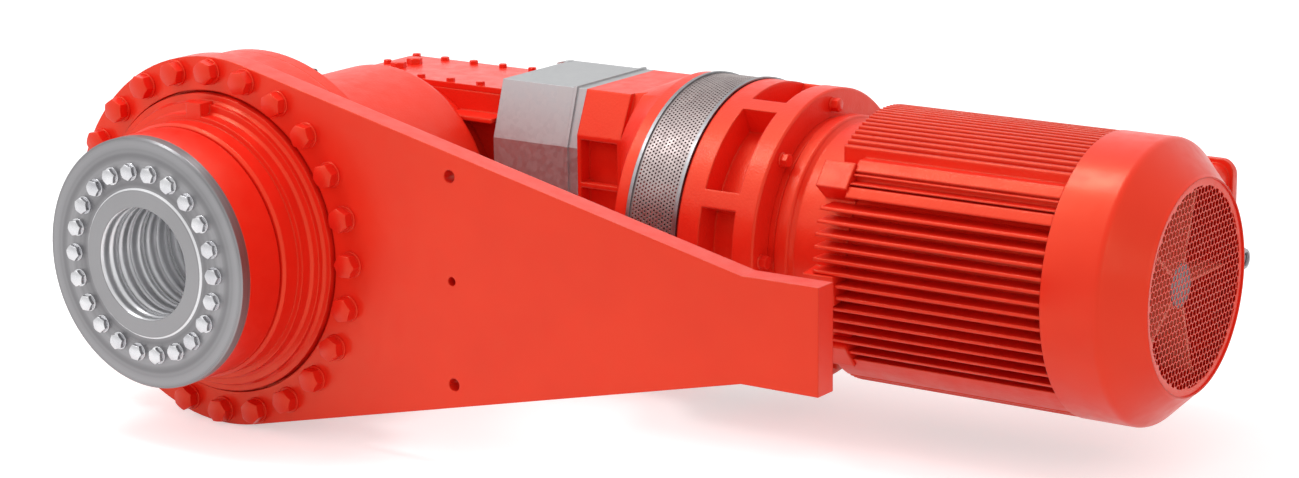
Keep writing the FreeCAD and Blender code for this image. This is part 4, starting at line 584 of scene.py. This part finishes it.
def all_bolts():
    disc_across = 0.023
    disc_circle = half_height("shrink_disc_screws") - disc_across / 2
    ring_of_bolts("disc_screws_detailed", "shrink_disc_screws", False, -1, disc_circle, 22,
                  disc_across, 0.18, screw_steel, "output")
    arm_across = 0.034
    arm_plain_across = 0.036
    arm_circle = half_height("arm_bolts") - arm_plain_across / 2
    ring_of_bolts("arm_bolts_detailed", "arm_bolts", False, -1, arm_circle, 24,
                  arm_across, 0.16, red_bolt, "casing")
    lantern_across = 0.019
    lantern_circle = half_height("lantern_bolts") - lantern_across / math.sqrt(3)
    ring_of_bolts("lantern_bolts_detailed", "lantern_bolts", True, 1, lantern_circle, 8,
                  lantern_across, 0.2, red_bolt, "casing")
    rear_across = 0.013
    rear_circle = half_height("rear_cap_bolts") - rear_across / 2
    ring_of_bolts("rear_cap_bolts_detailed", "rear_cap_bolts", False, 1, rear_circle, 6,
                  rear_across, 0.2, red_bolt, "casing")


def top_cover_bolts():
    """Two rows and one end bolt on the top cover, where the plain heads stand."""
    low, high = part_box("top_cover_bolts")
    plate_low, plate_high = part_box("housing_top_cover")
    across, turn_to_next = 0.013, 0.4
    inset, pitch, pairs = 0.010, 0.063, 6
    first_x = plate_low.x + inset + across / 2
    places = [(first_x + pitch * step, y) for step in range(pairs)
              for y in (plate_low.y + inset, plate_high.y - inset)]
    places.append((plate_low.x + inset, middle(plate_low.y, plate_high.y)))
    bm = bmesh.new()
    for number, (x, y) in enumerate(places):
        matrix = basis(Vector((x, y, low.z)), Z_AXIS)
        add_hex_head(bm, matrix, across, high.z - low.z, turn=turn_to_next * number)
    make_piece(bm, "top_cover_bolts_detailed", "casing", red_bolt,
               ("top_cover_bolts",))


# Perforated sheets


def hex_cells(columns, rows, pitch, hole, edge_low, edge_high):
    """Cells of a perforated sheet as (outer corners, hole corners) in flat coordinates.

    Rows lie across the sheet, and the first and last row reach its plain edges.
    """
    side = pitch / math.sqrt(3)
    step = side * 1.5
    cells = []
    for row in range(rows):
        v = step * row
        for column in range(columns):
            u = pitch * (column + 0.5 * (row % 2))
            outer, inner = [], []
            for corner in range(6):
                angle = math.radians(60 * corner + 30)
                du, dv = side * math.cos(angle), side * math.sin(angle)
                low_edge = row == 0 and dv < 0
                high_edge = row == rows - 1 and dv > 0
                reach = edge_low if low_edge else edge_high if high_edge else v + dv
                outer.append((u + du, reach))
                inner.append((u + hole * math.cos(angle), v + hole * math.sin(angle)))
            cells.append((outer, inner))
    return cells


def perforated_guard():
    """The guard's sheet with its real holes, rolled round the motor line."""
    radius = (guard_high.z - guard_low.z) / 2
    thick, plain_edges = 0.0015, 0.012
    columns, hole_share = 228, 0.27
    pitch = 2 * math.pi * radius / columns
    length = guard_high.x - guard_low.x
    step = pitch * math.sqrt(3) / 2
    rows = int((length - plain_edges) / step)
    margin = (length - step * (rows - 1)) / 2
    start = guard_low.x + margin
    bm = bmesh.new()
    shared = {}

    def vertex(u, v, depth):
        angle = u / radius
        key = (round(u * 1e6) % round(2 * math.pi * radius * 1e6), round(v * 1e6), depth)
        if key not in shared:
            reach = radius - depth
            shared[key] = bm.verts.new((start + v, LINE_Y + reach * math.cos(angle),
                                        reach * math.sin(angle)))
        return shared[key]

    cells = hex_cells(columns, rows, pitch, pitch * hole_share, -margin, length - margin)
    for outer, inner in cells:
        for i in range(6):
            k = (i + 1) % 6
            for depth in (0.0, thick):
                bm.faces.new((vertex(*outer[i], depth), vertex(*outer[k], depth),
                              vertex(*inner[k], depth), vertex(*inner[i], depth)))
            bm.faces.new((vertex(*inner[i], 0.0), vertex(*inner[k], 0.0),
                          vertex(*inner[k], thick), vertex(*inner[i], thick)))
    make_piece(bm, "perforated_guard_sheet", "casing", guard_steel,
               ("perforated_guard",))


def grille_sheet():
    """The cowl's grille with its fine hexagonal holes and a plain rim."""
    low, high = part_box("fan_grille")
    radius = (high.z - low.z) / 2
    thick = high.x - low.x
    pitch, sheet, rim = 0.0112, 0.0010, 0.012
    hole = pitch * 0.49
    side = pitch / math.sqrt(3)
    holed = radius - rim
    face_high = high.x - thick * 0.15
    face_low = face_high - sheet
    count = int(radius / pitch) + 2
    bm = bmesh.new()
    shared = {}

    def vertex(y, z, x):
        reach = math.hypot(y, z)
        if reach > radius:
            y, z = y * radius / reach, z * radius / reach
        key = (round(y * 1e6), round(z * 1e6), x)
        if key not in shared:
            shared[key] = bm.verts.new((x, LINE_Y + y, z))
        return shared[key]

    for row in range(-count, count + 1):
        for column in range(-count, count + 1):
            y = pitch * (column + 0.5 * (row % 2))
            z = side * 1.5 * row
            reach = math.hypot(y, z)
            if reach > radius - side * 0.4:
                continue
            turns = [math.radians(60 * i + 30) for i in range(6)]
            spread = [(math.cos(turn), math.sin(turn)) for turn in turns]
            outer = [(y + side * c, z + side * s) for c, s in spread]
            if reach > holed:
                for x in (face_low, face_high):
                    ring = list(dict.fromkeys(vertex(a, b, x) for a, b in outer))
                    if len(ring) > 2:
                        bm.faces.new(ring)
                continue
            inner = [(y + hole * c, z + hole * s) for c, s in spread]
            for i in range(6):
                k = (i + 1) % 6
                for x in (face_low, face_high):
                    bm.faces.new((vertex(*outer[i], x), vertex(*outer[k], x),
                                  vertex(*inner[k], x), vertex(*inner[i], x)))
                bm.faces.new((vertex(*inner[i], face_low), vertex(*inner[k], face_low),
                              vertex(*inner[k], face_high), vertex(*inner[i], face_high)))
    # A plain rim covers the cut cells at the edge
    bevel, inner_edge = 0.001, holed - 0.002
    lathe(bm, [(radius, thick * 0.05), (radius, thick * 0.9), (radius - bevel, thick),
               (inner_edge + bevel, thick), (inner_edge, thick * 0.9),
               (inner_edge, thick * 0.05)], LARGE_STEPS,
          basis(LINE + X_AXIS * low.x, X_AXIS))
    make_piece(bm, "fan_grille_sheet", "casing", red_sheet, ("fan_grille",))


# Sheet metal of the motor's end


def rounded_profile(corners, steps=8):
    """Corners of (radius, along, rounding) with each rounding as a short row of points."""
    points = []
    count = len(corners)
    for i, (radius, along, rounding) in enumerate(corners):
        here = Vector((radius, along))
        if not rounding:
            points.append((radius, along))
            continue
        before = (Vector(corners[i - 1][:2]) - here).normalized()
        after = (Vector(corners[(i + 1) % count][:2]) - here).normalized()
        reach = rounding / math.tan(before.angle(after) / 2)
        start, end = here + before * reach, here + after * reach
        for step in range(steps + 1):
            t = step / steps
            point = start * (1 - t) ** 2 + here * 2 * t * (1 - t) + end * t * t
            points.append((point.x, point.y))
    return points


def fan_cowl():
    """The cowl with its soft shoulder and the rolled rim of its mouth."""
    low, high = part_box("fan_cowl")
    radius = (high.z - low.z) / 2
    sheet, mouth, straight = 0.003, 0.170, 0.091
    shoulder = low.x + straight
    lip, roll, taper_end = 0.0052, 0.003, 0.0045
    corners = [(radius, low.x, 0), (radius, shoulder, 0.018), (mouth, high.x - taper_end, 0.006),
               (mouth - roll, high.x, 0.002), (mouth - lip, high.x, 0.0015),
               (mouth - lip, high.x - sheet, 0), (mouth - sheet, high.x - sheet - 0.002, 0.003),
               (radius - sheet, shoulder - 0.001, 0.015), (radius - sheet, low.x, 0)]
    bm = bmesh.new()
    lathe(bm, rounded_profile(corners), LARGE_STEPS, basis(LINE, X_AXIS))
    make_piece(bm, "fan_cowl_pressed", "casing", red_sheet, ("fan_cowl",), 40)


# Terminal box


def rounded_rectangle(half_x, half_z, rounding, steps=6):
    points = []
    for quarter, (sx, sz) in enumerate(((1, 1), (-1, 1), (-1, -1), (1, -1))):
        for step in range(steps + 1):
            angle = math.radians(90 * quarter + 90 * step / steps)
            points.append((sx * (half_x - rounding) + rounding * math.cos(angle),
                           sz * (half_z - rounding) + rounding * math.sin(angle)))
    return points


def terminal_lid():
    """The lid with a gasket line, a raised field and four sunk screws."""
    low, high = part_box("terminal_box_lid")
    centre = (low + high) / 2
    half_x, half_z = (high.x - low.x) / 2, (high.z - low.z) / 2
    thick = high.y - low.y
    seat = basis(Vector((centre.x, low.y, centre.z)), Y_AXIS)
    corner, least_corner = 0.022, 0.004
    gasket, gasket_inset = 0.003, 0.003
    field_inset, field_rise = 0.030, 0.003
    brim = thick - field_rise

    def ring(inset, along):
        edge = max(corner - inset, least_corner)
        return [(x, z, along) for x, z in rounded_rectangle(half_x - inset, half_z - inset, edge)]

    bm = bmesh.new()
    add_ngon_stack(bm, (ring(0.002, gasket), ring(0.0, gasket), ring(0.0, brim - 0.004),
                        ring(0.0018, brim - 0.001), ring(0.004, brim),
                        ring(field_inset, brim), ring(field_inset + field_rise, thick)), seat)
    make_piece(bm, "terminal_lid_cast", "casing", red_plate,
               ("terminal_box_lid",))
    bm = bmesh.new()
    add_ngon_stack(bm, (ring(gasket_inset, 0.0), ring(gasket_inset, gasket)), seat)
    make_piece(bm, "terminal_lid_gasket", "casing", black_rubber)
    screw_radius, screw_head, screw_socket = 0.0065, 0.0030, 0.006
    screw_inset, screw_seat = 0.017, high.y - 0.0032
    bm = bmesh.new()
    for sx in (-1, 1):
        for sz in (-1, 1):
            place = Vector((centre.x + sx * (half_x - screw_inset), screw_seat,
                            centre.z + sz * (half_z - screw_inset)))
            add_socket_head(bm, basis(place, Y_AXIS), screw_radius, screw_head, screw_socket)
    make_piece(bm, "terminal_lid_screws", "casing", screw_steel)


def add_grip_ribs(bm, seat, count, start, end, root, reach):
    """Small ribs round the gland's nut, from start to end along it."""
    half_width, tip_share = 0.0011, 0.6
    for number in range(count):
        angle = 2 * math.pi * number / count
        out = Vector((math.cos(angle), math.sin(angle), 0))
        side = Vector((-math.sin(angle), math.cos(angle), 0)) * half_width
        tip = side * tip_share
        flat = (out * root - side, out * reach - tip, out * reach + tip, out * root + side)
        rib = [[point + Z_AXIS * along for point in flat] for along in (start, end)]
        add_ngon_stack(bm, rib, seat)


def cable_gland():
    """The gland's hexagon foot, ribbed dome nut and sealing ring."""
    low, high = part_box("cable_gland")
    centre = (low + high) / 2
    seat = basis(Vector((low.x, centre.y, centre.z)), X_AXIS)
    length = high.x - low.x
    across = (high.z - low.z) * 0.86
    foot = hexagon(across, 4)
    crown = across / 2 * 0.97
    foot_rim, foot_top = 0.0088, 0.0092
    hub, dome, lip, mouth, bore = 0.0182, 0.0165, 0.0150, 0.0115, 0.0092
    dome_start, dome_end = length - 0.008, length - 0.002
    seal_seat = length - 0.005

    def ring(radius, along):
        return [(x / reach * radius, y / reach * radius, along) for x, y, reach in foot]

    bm = bmesh.new()
    rings = [[(x, y, 0.0) for x, y, reach in foot],
             [(x, y, foot_rim - (reach - crown) * 0.5) for x, y, reach in foot],
             ring(crown, foot_top), ring(hub, foot_top), ring(hub, dome_start),
             ring(dome, dome_end), ring(lip, length), ring(mouth, length),
             ring(mouth, seal_seat)]
    add_ngon_stack(bm, rings, seat)
    add_grip_ribs(bm, seat, 18, 0.0105, length - 0.0095, dome, 0.0190)
    make_piece(bm, "cable_gland_nut", "casing", grey_plastic, ("cable_gland",))
    bm = bmesh.new()
    seal_back, seal_reach = length - 0.010, 0.0114
    lathe(bm, [(bore, seal_back), (seal_reach, seal_back), (seal_reach, seal_seat),
               (0.0105, length - 0.004), (bore, length - 0.0045)], SMALL_STEPS, seat)
    make_piece(bm, "cable_gland_seal", "casing", black_rubber)


# Small parts of the gear


def breather():
    """The breather's square cap on a turned collar."""
    low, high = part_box("breather_plug")
    centre = (low + high) / 2
    half = (high.x - low.x) / 2
    tall = high.z - low.z
    seat = basis(Vector((centre.x, centre.y, low.z)), Z_AXIS)
    collar, neck = half * 0.98, half * 0.8
    collar_top, neck_start, cap_start = tall * 0.22, tall * 0.28, tall * 0.36
    edge, crown_share = 0.0022, 0.86
    bm = bmesh.new()
    lathe(bm, [(0, 0), (collar, 0), (collar, collar_top), (neck, neck_start),
               (neck, cap_start), (0, cap_start)], SMALL_STEPS, seat)
    square = rounded_rectangle(half, half, edge, 3)
    cap = [(x, y, cap_start) for x, y in square]
    wall = [(x, y, tall - 0.0025) for x, y in square]
    top = [(x * crown_share, y * crown_share, tall) for x, y in square]
    add_ngon_stack(bm, (cap, wall, top), seat)
    make_piece(bm, "breather_cap", "casing", black_plastic, ("breather_plug",))


def oil_plugs():
    """Flanged plugs under and behind the housing, and two painted ones on its cover."""
    low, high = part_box("oil_plugs")
    housing_low, housing_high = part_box("bevel_housing")
    across, flange, flange_radius = 0.026, 0.004, 0.0165
    tall = housing_low.z - low.z
    drain = Vector((0, LINE_Y, housing_low.z))
    level = Vector((0.110, housing_high.y, -0.055))
    bm = bmesh.new()
    add_hex_head(bm, basis(drain, -Z_AXIS), across, tall, flange, flange_radius)
    add_hex_head(bm, basis(level, Y_AXIS), across, tall, flange, flange_radius)
    make_piece(bm, "oil_plugs_flanged", "casing", screw_steel, ("oil_plugs",))
    cover_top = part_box("housing_top_cover")[1].z
    cover_across, spread, cover_x = 0.024, 0.022, -0.060
    bm = bmesh.new()
    for side in (-1, 1):
        place = Vector((cover_x, LINE_Y + side * spread, cover_top))
        add_hex_head(bm, basis(place, Z_AXIS), cover_across, high.z - cover_top, turn=0.3)
    make_piece(bm, "cover_plugs_painted", "casing", red_bolt)


def shell_tab():
    """The small bent tab on the far upper edge of the air guide shell."""
    low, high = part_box("air_guide_shell")
    width, sheet, from_line = 0.018, 0.002, 0.088
    top = high.z - 0.004
    end, bend, toe = -0.018, -0.006, 0.004
    outline = [(end, -0.004), (end, sheet - 0.004), (bend, sheet - 0.001),
               (toe, sheet - 0.0005), (toe, -0.0005), (bend, -0.001)]
    ends = [[Vector((low.x + along, LINE_Y + from_line + side, top + lift))
             for along, lift in outline] for side in (-width / 2, width / 2)]
    bm = bmesh.new()
    add_ngon_stack(bm, ends, Matrix.Identity(4))
    make_piece(bm, "shell_tab", "casing", sheet_zinc)


# Stage, light and camera

PHOTO_WIDTH = 1299
FOCAL_PIXELS = 3279.75
SENSOR_WIDTH = 36.0
CAMERA_PLACE = Vector((3.4613, -3.7916, 1.2338))
CAMERA_AZIMUTH = math.radians(34.664)
CAMERA_ELEVATION = math.radians(13.655)
CAMERA_ROLL = math.radians(-0.580)
WORLD_STRENGTH = 0.83
FLOOR_GREY = 0.80
FLOOR_LIFT = 0.5
FLOOR_HALF = 40.0
FLOOR_GAP = 0.0005


def camera():
    """The photograph's camera, as fitted to its rings and straight edges."""
    a, e, r = CAMERA_AZIMUTH, CAMERA_ELEVATION, CAMERA_ROLL
    back = Vector((math.sin(a) * math.cos(e), -math.cos(a) * math.cos(e), math.sin(e)))
    right = Vector((math.cos(a), math.sin(a), 0))
    up = back.cross(right)
    across = right * math.cos(r) + up * math.sin(r)
    upward = up * math.cos(r) - right * math.sin(r)
    turn = Matrix((across, upward, back)).transposed().to_4x4()
    data = bpy.data.cameras.new("camera")
    data.sensor_width = SENSOR_WIDTH
    data.lens = FOCAL_PIXELS / PHOTO_WIDTH * SENSOR_WIDTH
    data.clip_end = 100
    holder = bpy.data.objects.new("camera", data)
    holder.matrix_world = Matrix.Translation(CAMERA_PLACE) @ turn
    scene.collection.objects.link(holder)
    scene.camera = holder


def seen_rays(tree):
    """1 for camera, glossy and transmitted rays, and 0 for those that carry soft light."""
    rays = tree.nodes.new("ShaderNodeLightPath")
    seen = rays.outputs["Is Camera Ray"]
    for kind in ("Is Glossy Ray", "Is Transmission Ray"):
        either = tree.nodes.new("ShaderNodeMath")
        either.operation = "MAXIMUM"
        tree.links.new(seen, either.inputs[0])
        tree.links.new(rays.outputs[kind], either.inputs[1])
        seen = either.outputs["Value"]
    return seen


def world():
    """Soft light from all round that is plain white where it is seen."""
    made = bpy.data.worlds.new("studio")
    made.use_nodes = True
    tree = made.node_tree
    soft = tree.nodes["Background"]
    soft.inputs["Color"].default_value = (1, 1, 1, 1)
    soft.inputs["Strength"].default_value = WORLD_STRENGTH
    white = tree.nodes.new("ShaderNodeBackground")
    white.inputs["Color"].default_value = (1, 1, 1, 1)
    white.inputs["Strength"].default_value = 1.0
    mix = tree.nodes.new("ShaderNodeMixShader")
    tree.links.new(seen_rays(tree), mix.inputs["Fac"])
    tree.links.new(soft.outputs["Background"], mix.inputs[1])
    tree.links.new(white.outputs["Background"], mix.inputs[2])
    tree.links.new(mix.outputs["Shader"], tree.nodes["World Output"].inputs["Surface"])
    scene.world = made


def softbox(name, place, aim, width, depth, power):
    data = bpy.data.lights.new(name, "AREA")
    data.shape = "RECTANGLE"
    data.size = width
    data.size_y = depth
    data.energy = power
    lamp = bpy.data.objects.new(name, data)
    direction = Vector(aim) - Vector(place)
    lamp.matrix_world = (Matrix.Translation(place)
                         @ direction.to_track_quat("-Z", "Y").to_matrix().to_4x4())
    scene.collection.objects.link(lamp)


def studio():
    gear = (0.55, 0.3, 0.0)
    motor = (1.2, 0.4, 0.0)
    softbox("key_left", (-0.77, -0.5, 2.48), gear, width=0.9, depth=0.8, power=22)
    softbox("key_right", (0.26, 0.5, 2.5), motor, width=0.8, depth=0.7, power=17)
    softbox("front_box", (-1.7, -2.4, 2.1), gear, width=2.4, depth=2.6, power=16)
    softbox("side_box", (4.2, -1.6, 1.5), gear, width=1.6, depth=1.8, power=8)


def pale_floor():
    """White for the camera and in reflections, where only the shadow is darker."""
    pale = bpy.data.materials.new("pale_floor")
    pale.use_nodes = True
    tree = pale.node_tree
    matt = tree.nodes["Principled BSDF"]
    matt.inputs["Base Color"].default_value = (FLOOR_GREY, FLOOR_GREY, FLOOR_GREY, 1)
    matt.inputs["Roughness"].default_value = 0.9
    matt.inputs["Specular IOR Level"].default_value = 0.0
    glow = tree.nodes.new("ShaderNodeEmission")
    lift = tree.nodes.new("ShaderNodeMath")
    lift.operation = "MULTIPLY"
    lift.inputs[1].default_value = FLOOR_LIFT
    tree.links.new(seen_rays(tree), lift.inputs[0])
    tree.links.new(lift.outputs["Value"], glow.inputs["Strength"])
    both = tree.nodes.new("ShaderNodeAddShader")
    tree.links.new(matt.outputs["BSDF"], both.inputs[0])
    tree.links.new(glow.outputs["Emission"], both.inputs[1])
    tree.links.new(both.outputs["Shader"], tree.nodes["Material Output"].inputs["Surface"])
    return pale


def floor():
    """A wide floor just under the part."""
    level = cad_low.z - FLOOR_GAP
    bm = bmesh.new()
    corners = [bm.verts.new((sx * FLOOR_HALF, sy * FLOOR_HALF, level))
               for sx, sy in ((-1, -1), (1, -1), (1, 1), (-1, 1))]
    bm.faces.new(corners)
    mesh = bpy.data.meshes.new("studio_floor")
    bm.to_mesh(mesh)
    bm.free()
    mesh.materials.append(pale_floor())
    ground = bpy.data.objects.new("studio_floor", mesh)
    scene.collection.objects.link(ground)


finish_nodes()
all_bolts()
top_cover_bolts()
perforated_guard()
grille_sheet()
fan_cowl()
terminal_lid()
cable_gland()
breather()
oil_plugs()
shell_tab()
camera()
world()
studio()
floor()
scene.view_settings.view_transform = "Standard"
